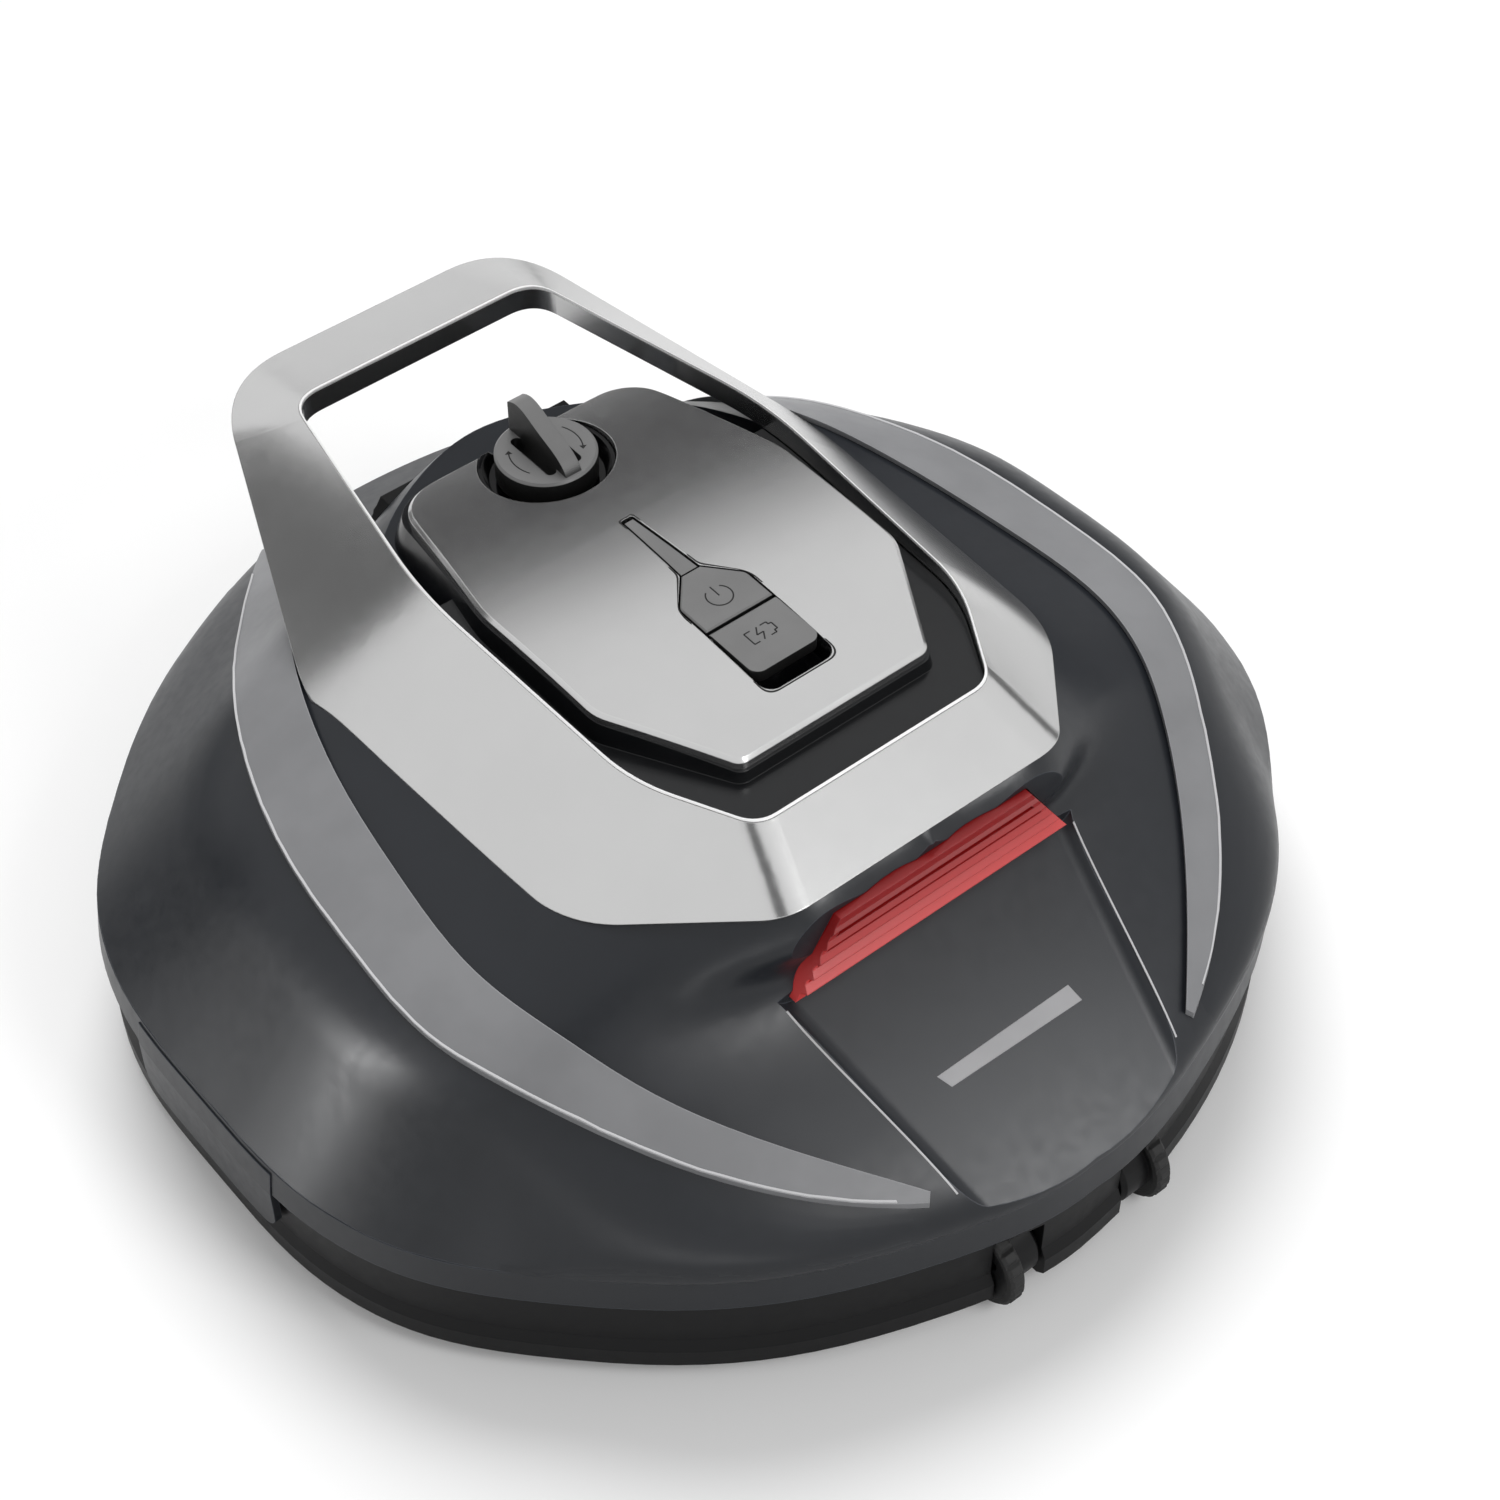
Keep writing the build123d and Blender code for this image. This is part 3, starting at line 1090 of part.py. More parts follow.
def make_side_panel(side, outer_dome):
    """Slate panel on the side of the body that hangs past the shell's edge."""
    low = SIDE_PANEL_LOW_Z
    high = RIM_Z - SIDE_PANEL_STEP
    face_by = EDGE_FLARE + SIDE_PANEL_PROUD
    top_by = face_by - EDGE_FLARE * (high - EDGE_Z) / (RIM_Z - EDGE_Z)
    face_low = level(RIM_LINE, face_by, low)
    face_high = level(RIM_LINE, face_by, EDGE_Z)
    outer = loft([face_low, face_high, level(RIM_LINE, top_by, high)], ruled=True)
    inner = extrude(level(RIM_LINE, face_by - SIDE_PANEL_THICKNESS, low), high - low, dir=(0, 0, 1))
    face = make_face(
        FilletPolyline(
            (-SIDE_PANEL_HALF_LENGTH, high),
            (-SIDE_PANEL_HALF_LENGTH, low),
            (SIDE_PANEL_HALF_LENGTH, low),
            (SIDE_PANEL_HALF_LENGTH, high),
            radius=[SIDE_PANEL_TOP_CORNER, SIDE_PANEL_CORNER, SIDE_PANEL_CORNER, SIDE_PANEL_TOP_CORNER],
            close=True,
        )
    )
    window = extrude(Plane.YZ * face, side * RIM_HALF_WIDTH * 2)
    above_notch = Box(RIM_HALF_WIDTH * 3, SIDE_PANEL_HALF_LENGTH * 3, PAST)
    above_notch = Pos(0, 0, notch_top_z() + PAST / 2) * above_notch
    return (outer & window) - inner - (outer_dome & above_notch)


def save(name, piece):
    """Lift one piece, or one group of like pieces, onto the ground and write it under its name."""
    lift = Pos(0, 0, -GROUND_Z)
    if isinstance(piece, list):
        lifted = Compound(children=[lift * one for one in piece])
    else:
        lifted = lift * piece
    export_step(lifted, f"parts/{name}.step")


def main():
    os.makedirs("parts", exist_ok=True)
    outer = dome(0)
    save("top_shell", make_top_shell(outer))
    right_trim = make_trim(outer, stripe_plan())
    left_trim = make_trim(outer, mirror(stripe_plan(), Plane.YZ))
    save("right_trim", right_trim)
    save("left_trim", left_trim)
    save("handle", make_handle(outer, [right_trim, left_trim]))
    save("panel_base", make_panel_base(outer))
    save("top_panel", make_top_panel())
    save("knob_seat", make_knob_seat())
    save("knob", make_knob())
    save("lock_shaft", make_lock_shaft())
    save("lock_cup", make_lock_cup())
    save("power_button", make_power_button())
    save("indicator_strip", make_indicator())
    save("charge_cap", make_charge_cap())
    save("charge_socket", make_charge_socket())
    save("power_switch", make_power_switch())
    grille = make_grille()
    save("front_grille", grille)
    save("rear_grille", rear(grille))
    for name, side in (("left", -1), ("right", 1)):
        save(f"{name}_side_panel", make_side_panel(side, outer))
    save("pump_housing", make_pump_housing())
    save("pump_lid", make_pump_lid())
    save("lid_gasket", make_gasket())
    lid_screw_z = lid_z() - SCREW_HEAD_HEIGHT
    save("lid_screws", [Pos(x, y, lid_screw_z) * make_screw() for x, y in lid_points()])
    save("battery_pack", make_battery())
    save("control_board", make_control_board())
    for name, place in (("front", lambda piece: piece), ("rear", turned)):
        save(f"{name}_motor", place(make_motor()))
        save(f"{name}_shaft_seal", place(make_seal()))
        save(f"{name}_rotor", place(make_rotor()))
        save(f"{name}_duct", place(make_duct()))
    save("base_tray", make_base_tray())
    for name, side in (("front", -1), ("rear", 1)):
        save(f"{name}_flap", make_flap(side))
        save(f"{name}_wiper", make_wiper(side))
    save("flap_pins", make_flap_pins())
    save("filter_frame", make_filter_frame())
    save("filter_screen", make_filter_screen())
    save("wheel_axles", make_axles())
    save("base_screws", [Pos(x, y, BASE_FLOOR_Z) * make_screw() for x, y in filter_posts()])
    for end, b in (("front", -1), ("rear", 1)):
        for name, a in (("left", -1), ("right", 1)):
            place = Pos(a * WHEEL_X, b * WHEEL_Y, wheel_z())
            save(f"{end}_{name}_wheel", place * wheel_profile_hub(a))
            save(f"{end}_{name}_tyre", place * wheel_profile_tyre(a))


main()
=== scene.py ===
import json
import math

import bpy
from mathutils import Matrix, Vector
from mathutils.bvhtree import BVHTree


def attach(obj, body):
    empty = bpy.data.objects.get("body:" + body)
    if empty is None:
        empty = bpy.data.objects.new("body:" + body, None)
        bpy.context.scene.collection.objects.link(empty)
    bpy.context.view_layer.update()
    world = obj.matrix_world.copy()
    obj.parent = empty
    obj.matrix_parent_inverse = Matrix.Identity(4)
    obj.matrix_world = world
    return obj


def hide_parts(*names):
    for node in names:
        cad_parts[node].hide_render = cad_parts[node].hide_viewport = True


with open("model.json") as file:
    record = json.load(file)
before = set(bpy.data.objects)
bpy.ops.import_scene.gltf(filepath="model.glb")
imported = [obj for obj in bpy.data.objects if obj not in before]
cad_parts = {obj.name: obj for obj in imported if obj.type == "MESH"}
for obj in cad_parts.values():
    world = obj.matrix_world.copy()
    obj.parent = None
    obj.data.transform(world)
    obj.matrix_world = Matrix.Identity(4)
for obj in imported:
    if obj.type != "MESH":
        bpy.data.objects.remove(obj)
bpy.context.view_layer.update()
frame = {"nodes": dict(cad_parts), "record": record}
NODES = frame["nodes"]
MM = 0.001


# Camera
CAMERA_PLACE = (-0.4292, -0.5513, 0.8410)
CAMERA_AIM = (0.0, -0.0306, 0.1030)
CAMERA_LENS = 72.32
SENSOR_WIDTH = 36.0


def looking(place, aim):
    """Rotation of a camera or lamp that stands at a place and looks at a point."""
    return (Vector(aim) - Vector(place)).to_track_quat("-Z", "Y").to_euler()


camera_data = bpy.data.cameras.new("camera")
camera_data.lens = CAMERA_LENS
camera_data.sensor_width = SENSOR_WIDTH
camera = bpy.data.objects.new("camera", camera_data)
camera.location = CAMERA_PLACE
camera.rotation_euler = looking(CAMERA_PLACE, CAMERA_AIM)
bpy.context.scene.collection.objects.link(camera)
bpy.context.scene.camera = camera
bpy.context.scene.view_settings.view_transform = "Standard"


# Materials
CLOUD_SCALE = 38.0
KEY_CLOUD_SCALE = 60.0
GLOSS_SCALE = 210.0
GRAIN_SCALE = 1400.0
GRAIN_DEPTH = 0.1 * MM
EDGE_RADIUS = 0.5 * MM
KEY_EDGE_RADIUS = 0.4 * MM
COAT_ROUGH = 0.08
UNEVEN_GLOSS = 0.03


class Shader:
    """A material's node tree with short calls for the nodes that the finishes share."""

    def __init__(self, name):
        self.material = bpy.data.materials.new(name)
        self.material.use_nodes = True
        self.tree = self.material.node_tree
        self.shader = self.tree.nodes["Principled BSDF"]
        self.place = self.tree.nodes.new("ShaderNodeTexCoord").outputs["Object"]

    def set(self, **values):
        for key, value in values.items():
            self.shader.inputs[key.replace("_", " ")].default_value = value

    def join(self, output, socket):
        self.tree.links.new(output, socket)

    def tint(self, output):
        self.join(output, self.shader.inputs["Base Color"])

    def noise(self, scale, detail=2.0, stretch=None):
        node = self.tree.nodes.new("ShaderNodeTexNoise")
        node.inputs["Scale"].default_value = scale
        node.inputs["Detail"].default_value = detail
        if stretch:
            mapping = self.tree.nodes.new("ShaderNodeMapping")
            mapping.inputs["Scale"].default_value = stretch
            self.join(self.place, mapping.inputs["Vector"])
            self.join(mapping.outputs["Vector"], node.inputs["Vector"])
        else:
            self.join(self.place, node.inputs["Vector"])
        return node.outputs["Fac"]

    def ramp(self, value, stops):
        node = self.tree.nodes.new("ShaderNodeValToRGB")
        elements = node.color_ramp.elements
        while len(elements) < len(stops):
            elements.new(0.5)
        for element, (position, color) in zip(elements, stops):
            element.position = position
            element.color = (*color, 1.0)
        self.join(value, node.inputs["Fac"])
        return node.outputs["Color"]

    def spread(self, value, low, high, start=0.3, end=0.7):
        node = self.tree.nodes.new("ShaderNodeMapRange")
        node.inputs["From Min"].default_value = start
        node.inputs["From Max"].default_value = end
        node.inputs["To Min"].default_value = low
        node.inputs["To Max"].default_value = high
        self.join(value, node.inputs["Value"])
        return node.outputs["Result"]

    def gloss(self, rough, uneven=UNEVEN_GLOSS):
        """Roughness that varies a little in small patches."""
        patches = self.noise(GLOSS_SCALE, 3.0)
        self.join(self.spread(patches, rough - uneven, rough + uneven), self.shader.inputs["Roughness"])

    def upward(self, vector):
        """The Z part of a vector."""
        node = self.tree.nodes.new("ShaderNodeSeparateXYZ")
        self.join(vector, node.inputs["Vector"])
        return node.outputs["Z"]

    def geometry(self, output):
        return self.tree.nodes.new("ShaderNodeNewGeometry").outputs[output]

    def soft_edge(self, radius):
        """Normal that rounds every sharp edge by a small radius."""
        node = self.tree.nodes.new("ShaderNodeBevel")
        node.samples = 4
        node.inputs["Radius"].default_value = radius
        return node.outputs["Normal"]

    def edge_mask(self, rounded):
        """One on edges, nought on flat areas."""
        meet = self.tree.nodes.new("ShaderNodeVectorMath")
        meet.operation = "DOT_PRODUCT"
        self.join(rounded, meet.inputs[0])
        self.join(self.geometry("Normal"), meet.inputs[1])
        return self.spread(meet.outputs["Value"], 1.0, 0.0, start=0.90, end=0.995)

    def blend(self, factor, first, second):
        """Mix of two colours, each a plain colour or an output."""
        node = self.tree.nodes.new("ShaderNodeMix")
        node.data_type = "RGBA"
        self.join(factor, node.inputs["Factor"])
        for key, color in (("A", first), ("B", second)):
            if isinstance(color, tuple):
                node.inputs[key].default_value = (*color, 1.0)
            else:
                self.join(color, node.inputs[key])
        return node.outputs["Result"]

    def bump(self, value, strength, under=None):
        node = self.tree.nodes.new("ShaderNodeBump")
        node.inputs["Strength"].default_value = strength
        node.inputs["Distance"].default_value = GRAIN_DEPTH
        self.join(value, node.inputs["Height"])
        if under:
            self.join(under, node.inputs["Normal"])
        self.join(node.outputs["Normal"], self.shader.inputs["Normal"])


def shade(color, factor):
    return tuple(min(1.0, c * factor) for c in color)


def moulded(name, color, rough, grain=GRAIN_SCALE, bump=0.12, vary=0.06, metallic=0.0, coat=0.0,
            specular=0.5, edge_wear_and_highlight=1.3, uneven=UNEVEN_GLOSS):
    """Moulded plastic: a fine grain, slightly uneven gloss and colour, edges lighter, partly as rubbed
    wear and partly as a painted highlight.
    """
    finish = Shader(name)
    cloud = finish.noise(CLOUD_SCALE, 3.0)
    clouded = finish.ramp(cloud, [(0.35, shade(color, 1 - vary)), (0.65, shade(color, 1 + vary))])
    rounded = finish.soft_edge(EDGE_RADIUS)
    # Edges take a lighter colour: partly rubbed wear, partly a painted highlight along each sharp edge.
    finish.tint(finish.blend(finish.edge_mask(rounded), clouded, shade(color, edge_wear_and_highlight)))
    finish.gloss(rough, uneven)
    finish.bump(finish.noise(grain), bump, rounded)
    finish.set(Metallic=metallic, Coat_Weight=coat, Coat_Roughness=COAT_ROUGH, Specular_IOR_Level=specular)
    return finish.material


def key_with_shaded_walls(name, top, wall, rough):
    """Key with painted shade: grey on the faces that look up, dark on the walls."""
    finish = Shader(name)
    on_top = finish.spread(finish.upward(finish.geometry("True Normal")), 0.0, 1.0, start=0.45, end=0.6)
    cloud = finish.noise(KEY_CLOUD_SCALE, 3.0)
    clouded = finish.ramp(cloud, [(0.35, shade(top, 0.95)), (0.65, shade(top, 1.05))])
    finish.tint(finish.blend(on_top, wall, clouded))
    finish.gloss(rough)
    finish.bump(finish.noise(GRAIN_SCALE), 0.08, finish.soft_edge(KEY_EDGE_RADIUS))
    return finish.material


def ribbed_red(name, low, high, dark, pale, rough):
    """Glossy red with painted shade: darker towards the top of the louvre, where the lip's shadow falls.
    """
    finish = Shader(name)
    height = finish.spread(finish.upward(finish.place), 0.0, 1.0, start=low * MM, end=high * MM)
    finish.tint(finish.ramp(height, [(0.0, pale), (1.0, dark)]))
    finish.gloss(rough)
    finish.bump(finish.noise(GRAIN_SCALE), 0.03, finish.soft_edge(EDGE_RADIUS))
    finish.set(Coat_Weight=0.3, Coat_Roughness=COAT_ROUGH)
    return finish.material


def brushed(name, color, rough):
    """Steel with fine turning marks."""
    finish = Shader(name)
    marks = finish.noise(220.0, 4.0, stretch=(0.15, 6.0, 6.0))
    finish.tint(finish.ramp(marks, [(0.3, shade(color, 0.85)), (0.7, shade(color, 1.1))]))
    finish.join(finish.spread(marks, rough - 0.08, rough + 0.08), finish.shader.inputs["Roughness"])
    finish.bump(marks, 0.15)
    finish.set(Metallic=1.0)
    return finish.material


FINISHES = {
    # The slate's edges are lightened fivefold: a painted highlight along every sharp edge of the shell.
    "slate": moulded("slate_plastic", (0.013, 0.0148, 0.0185), 0.34, bump=0.06, specular=0.32, edge_wear_and_highlight=5.0),
    "stripe_grey": moulded("stripe_plastic", (0.21, 0.212, 0.22), 0.42, bump=0.06, specular=0.4, edge_wear_and_highlight=1.8),
    "silver": moulded("silver_paint", (0.58, 0.58, 0.58), 0.20, grain=2600.0, bump=0.02, vary=0.01,
                      metallic=0.97, edge_wear_and_highlight=1.1, uneven=0.008),
    "gloss_black": moulded("gloss_black_plastic", (0.003, 0.003, 0.0035), 0.12, bump=0.01,
                           specular=0.35),
    # Grey key tops over near-black walls: the dark walls are painted shade.
    "key_grey": key_with_shaded_walls("key_plastic", (0.155, 0.155, 0.155), (0.006, 0.006, 0.006), 0.42),
    # The louvre's red darkens from 108 mm up to 126 mm: painted shade under the shell's lip.
    "outlet_red": ribbed_red("red_plastic", 108.0, 126.0, (0.30, 0.003, 0.004), (0.72, 0.05, 0.05),
                             0.34),
    "black_plastic": moulded("black_plastic", (0.005, 0.005, 0.0055), 0.40, specular=0.18),
    "rubber": moulded("black_rubber", (0.011, 0.011, 0.011), 0.70, grain=900.0, bump=0.25),
    "rotor_plastic": moulded("rotor_plastic", (0.30, 0.30, 0.30), 0.5),
    "steel": brushed("steel", (0.55, 0.55, 0.56), 0.32),
    "screen_mesh": moulded("screen_mesh", (0.60, 0.60, 0.58), 0.8, grain=1600.0, bump=0.4),
    "battery_wrap": moulded("battery_wrap", (0.02, 0.08, 0.30), 0.25, bump=0.03, coat=0.3),
    "board_green": moulded("board_green", (0.02, 0.15, 0.06), 0.35, bump=0.05, coat=0.3),
}
PEDESTAL = moulded("pedestal_plastic", (0.006, 0.0065, 0.0075), 0.22, bump=0.02, specular=0.35)
# Near-white finish for the line on the handle's inner edge: a painted highlight.
HANDLE_HIGHLIGHT = moulded("handle_edge_highlight", (0.94, 0.94, 0.94), 0.30, bump=0.0, vary=0.0, metallic=0.2,
                    uneven=0.01)
# Pale grey finish for narrow lines laid on edges: a painted highlight.
EDGE_HIGHLIGHT_PAINT = moulded("stripe_highlight_line", (0.52, 0.52, 0.53), 0.35, bump=0.02, vary=0.02)
PRINT_BLACK = moulded("black_print", (0.004, 0.004, 0.004), 0.45, bump=0.02)
PRINT_GREY = moulded("grey_print", (0.36, 0.36, 0.37), 0.50, bump=0.02)
for subpart in frame["record"]["subparts"]:
    node = NODES[subpart["node"]]
    node.data.materials.clear()
    node.data.materials.append(FINISHES[subpart["material_slot"]])
NODES["panel_base"].data.materials[0] = PEDESTAL


# The left half of the moulded forms is shown on both sides
HALVES_MERGE = 0.05 * MM
for name in ("top_shell", "handle"):
    halves = NODES[name].modifiers.new("halves", "MIRROR")
    halves.use_axis[0] = True
    halves.use_bisect_axis[0] = True
    halves.use_bisect_flip_axis[0] = True
    halves.merge_threshold = HALVES_MERGE


# Shared mesh building, in millimetres
def mesh_piece(name, points, faces, finish, body):
    """A piece of the object that rides on a body and takes the given finish."""
    mesh = bpy.data.meshes.new(name)
    mesh.from_pydata([tuple(c * MM for c in p) for p in points], [], faces)
    mesh.update()
    mesh.materials.append(finish)
    piece = bpy.data.objects.new(name, mesh)
    bpy.context.scene.collection.objects.link(piece)
    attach(piece, body)
    return piece


class Sheet:
    """Points and faces of raised strokes, gathered into one piece."""

    def __init__(self):
        self.points = []
        self.faces = []

    def prism(self, outline, low, high):
        """Closed block over an outline whose low and high points are given by two callables."""
        start = len(self.points)
        count = len(outline)
        self.points += [low(p) for p in outline] + [high(p) for p in outline]
        self.faces.append([start + count + i for i in range(count)])
        self.faces.append([start + i for i in reversed(range(count))])
        for i in range(count):
            j = (i + 1) % count
            self.faces.append([start + i, start + j, start + count + j, start + count + i])

    def stroke(self, line, width, low, high):
        """A drawn line of even width as a row of small blocks with shared corners."""
        sides = []
        for i, p in enumerate(line):
            before = Vector(line[max(i - 1, 0)])
            after = Vector(line[min(i + 1, len(line) - 1)])
            run = (after - before).normalized()
            across = Vector((-run.y, run.x)) * width / 2
            sides.append((Vector(p) + across, Vector(p) - across))
        for (a, b), (c, d) in zip(sides, sides[1:]):
            self.prism([a, b, d, c], low, high)


def level(z):
    """Puts a point of the plan at a height."""
    return lambda p: (p[0], p[1], z)


def round_point(centre, radius, degrees):
    angle = math.radians(degrees)
    return centre[0] + radius * math.cos(angle), centre[1] + radius * math.sin(angle)


def arc(centre, radius, start, end, steps):
    return [round_point(centre, radius, start + (end - start) * i / steps) for i in range(steps + 1)]


def rounded_ring(half, reaches, steps):
    """Closed ring of points through softened corners, from its right half."""
    corners = [Vector(p) for p in half] + [Vector((-p[0], p[1], p[2])) for p in reversed(half)]
    reach = reaches + reaches[::-1]
    ring = []
    for i, corner in enumerate(corners):
        start = corner + (corners[i - 1] - corner).normalized() * reach[i]
        end = corner + (corners[(i + 1) % len(corners)] - corner).normalized() * reach[i]
        for k in range(steps + 1):
            t = k / steps
            ring.append(start * (1 - t) ** 2 + corner * 2 * t * (1 - t) + end * t * t)
    return ring


def ring_body(rings):
    """Closed tube through rings of the same number of points."""
    points = [p for section in zip(*rings) for p in section]
    faces = []
    sides = len(rings)
    count = len(rings[0])
    for i in range(count):
        here = i * sides
        after = (i + 1) % count * sides
        for k in range(sides):
            m = (k + 1) % sides
            faces.append([here + m, after + m, after + k, here + k])
    return points, faces


def grid_body(rows_low, rows_high, hand):
    """Closed body between two grids of points; the hand is below nought for a mirror image."""
    high = [p for row in rows_high for p in row]
    low = [p for row in rows_low for p in row]
    wide = len(rows_high[0])
    tall = len(rows_high)
    below = len(high)
    faces = []
    for i in range(tall - 1):
        for j in range(wide - 1):
            a = i * wide + j
            faces.append([a, a + 1, a + wide + 1, a + wide])
            faces.append([below + a, below + a + wide, below + a + wide + 1, below + a + 1])
    border = list(range(wide)) + [i * wide + wide - 1 for i in range(1, tall)]
    border += [(tall - 1) * wide + j for j in reversed(range(wide - 1))]
    border += [i * wide for i in reversed(range(1, tall - 1))]
    for a, b in zip(border, border[1:] + border[:1]):
        faces.append([a, below + a, below + b, b])
    if hand < 0:
        faces = [face[::-1] for face in faces]
    return high + low, faces


# Signs on the keys and on the knob
KEY_TOP = 163.3
KNOB_TOP = 161.5
SIGN_SUNK = 0.2
SIGN_PROUD = 0.04
SIGN_LINE = 0.5
KEY_LEVELS = (level(KEY_TOP - SIGN_SUNK), level(KEY_TOP + SIGN_PROUD))
KNOB_LEVELS = (level(KNOB_TOP - SIGN_SUNK), level(KNOB_TOP + SIGN_PROUD))

POWER = (0.0, -15.2)
POWER_RADIUS = 4.5
POWER_ARC = (128, 412)
POWER_STEPS = 36
POWER_BAR = 4.9
power = Sheet()
power.stroke(arc(POWER, POWER_RADIUS, *POWER_ARC, POWER_STEPS), SIGN_LINE, *KEY_LEVELS)
power.stroke([(0.0, POWER[1] + POWER_BAR), (0.0, POWER[1])], SIGN_LINE, *KEY_LEVELS)
mesh_piece("power_sign", power.points, power.faces, PRINT_BLACK, "button")

BATTERY = (-0.6, -36.6)
battery = Sheet()
for line in (
    [(-2.2, 2.8), (-4.6, 2.8), (-4.6, -2.8), (-2.4, -2.8)],
    [(1.9, 2.8), (4.4, 2.8), (4.4, 1.6)],
    [(4.4, -1.6), (4.4, -2.8), (2.2, -2.8)],
    [(4.4, 1.6), (5.6, 1.6), (5.6, -1.6), (4.4, -1.6)],
    [(0.5, 2.9), (-1.4, 0.0), (1.2, 0.0), (-0.6, -2.9)],
):
    placed = [(x + BATTERY[0], y + BATTERY[1]) for x, y in line]
    for a, b in zip(placed, placed[1:]):
        battery.stroke([a, b], SIGN_LINE, *KEY_LEVELS)
mesh_piece("charge_sign", battery.points, battery.faces, PRINT_BLACK, "cap")

KNOB = (0.0, 77.3)
ARROW_RADIUS = 12.6
ARROW_LINE = 0.45
ARROW_START = 28
ARROW_END = -30
ARROW_STEPS = 14
HEAD_TIP = -37
HEAD_BACK = -29
HEAD_HALF = 1.3
arrows = Sheet()
for turn in (0, 180):
    arrows.stroke(arc(KNOB, ARROW_RADIUS, turn + ARROW_START, turn + ARROW_END, ARROW_STEPS), ARROW_LINE,
                  *KNOB_LEVELS)
    head = [round_point(KNOB, ARROW_RADIUS, turn + HEAD_TIP),
            round_point(KNOB, ARROW_RADIUS + HEAD_HALF, turn + HEAD_BACK),
            round_point(KNOB, ARROW_RADIUS - HEAD_HALF, turn + HEAD_BACK)]
    arrows.prism(head, *KNOB_LEVELS)
mesh_piece("knob_arrows", arrows.points, arrows.faces, PRINT_BLACK, "lock_knob")


# Dark line round the keys' slot
SLOT_HALF = [(14.4, -57.4), (14.4, -12.0), (4.1, 0.4), (2.5, 33.6)]
SLOT_REACH = [5, 4, 2, 1.2]
SLOT_STEPS = 6
SLOT_GAP = 0.05
SLOT_LINE = 0.55
SLOT_PROUD = 0.06
SLOT_SUNK = 0.3
PANEL_ARCH = 620.0
PANEL_CREST_Y = -8.0
PANEL_CREST_Z = 163.0


def slot_ring(grow, lift):
    """Closed ring round the slot on the panel's arched top."""
    half = [(x + grow, y + (grow if y > 0 else -grow), 0.0) for x, y in SLOT_HALF]
    ring = []
    for p in rounded_ring(half, SLOT_REACH, SLOT_STEPS):
        along = p.y - PANEL_CREST_Y
        drop = PANEL_ARCH - math.sqrt(PANEL_ARCH ** 2 - along ** 2)
        ring.append((p.x, p.y, PANEL_CREST_Z - drop + lift))
    return ring


points, faces = ring_body([slot_ring(SLOT_GAP, SLOT_PROUD), slot_ring(SLOT_LINE, SLOT_PROUD),
                           slot_ring(SLOT_LINE, -SLOT_SUNK), slot_ring(SLOT_GAP, -SLOT_SUNK)])
mesh_piece("slot_line", points, faces, PRINT_BLACK, "cover")


# Plain bar on the outlet's floor
OUTLET_Y = -119.0
OUTLET_Z = 102.0
OUTLET_SLOPE = 0.534
BAR_OUTLINE = [(-29.9, -158.3), (-27.6, -162.9), (27.5, -163.7), (26.4, -158.0)]
BAR_SUNK = 0.3
BAR_PROUD = 0.05


def outlet_floor(lift):
    return lambda p: (p[0], p[1], OUTLET_Z + OUTLET_SLOPE * (p[1] - OUTLET_Y) + lift)


bar = Sheet()
bar.prism(BAR_OUTLINE, outlet_floor(-BAR_SUNK), outlet_floor(BAR_PROUD))
mesh_piece("outlet_bar", bar.points, bar.faces, PRINT_GREY, "cover")


# Painted highlight: a white line on the handle's inner edge, where the edge's round would catch the light
HANDLE_INNER = [(47.2, -91.8, 154.5), (67.4, -56.1, 157.7), (71.8, 48.0, 162.0), (51.2, 153.5, 160.4)]
HANDLE_OUTER = [(56.4, -116.8, 139.4), (101.6, -65.6, 123.2), (110.6, 62.5, 118.4), (61.7, 185.6, 153.0)]
HANDLE_ROUND = [7, 14, 20, 11]
HANDLE_STEPS = 8
EDGE_WIDTH = 0.9
EDGE_PROUD = 0.15
EDGE_SINK_ALONG = 0.6
EDGE_SINK_DOWN = 0.4


def edge_section(inner, outer):
    """Corners of the line's section: down the inner wall, round the edge, out along the band."""
    corner = Vector(inner)
    slope = (Vector(outer) - corner).normalized()
    wall = Vector((-slope.x, -slope.y, 0)).normalized() * EDGE_PROUD
    across = slope.cross(Vector((0, 0, 1))).normalized()
    face = across.cross(slope).normalized() * EDGE_PROUD
    if face.z < 0:
        face = -face
    down = Vector((0, 0, -EDGE_WIDTH))
    sink = slope * EDGE_SINK_ALONG + Vector((0, 0, -EDGE_SINK_DOWN))
    return [corner + down + wall, corner + wall + face, corner + slope * EDGE_WIDTH + face,
            corner + slope * EDGE_WIDTH - face * 2, corner + sink, corner + down - wall * 2]


edge_rings = []
for line in zip(*[edge_section(a, b) for a, b in zip(HANDLE_INNER, HANDLE_OUTER)]):
    edge_rings.append(rounded_ring(line, HANDLE_ROUND, HANDLE_STEPS))
points, faces = ring_body(edge_rings)
mesh_piece("handle_highlight_line", points, faces, HANDLE_HIGHLIGHT, "cover")


# Even flanks, drawn tight from the stripes to the rim, and a pale line of painted highlight on the
# stripes' edge
FLANK_START = 110
FLANK_END = 252
FLANK_STEP = 2
FLANK_ROWS = 24
FLANK_LEAST = 6.0
FLANK_OVERLAP = 1.0
FLANK_PROUD = 0.35
FLANK_END_DIP = 0.3
FLANK_INSET = 0.3
FLANK_SUNK = 0.8
FLANK_CREASE = math.radians(40)
SCAN_STEP = 0.5
SCAN_FROM = 300.0
OUTERMOST = 208.0
INNERMOST = 120.0
RIM_HEIGHT = 55.0
LINE_WIDE = 0.8
LINE_PAST = 0.05
LINE_PROUD = 0.12
LINE_SUNK = 0.7
HANDS = (("left", 1), ("right", -1))


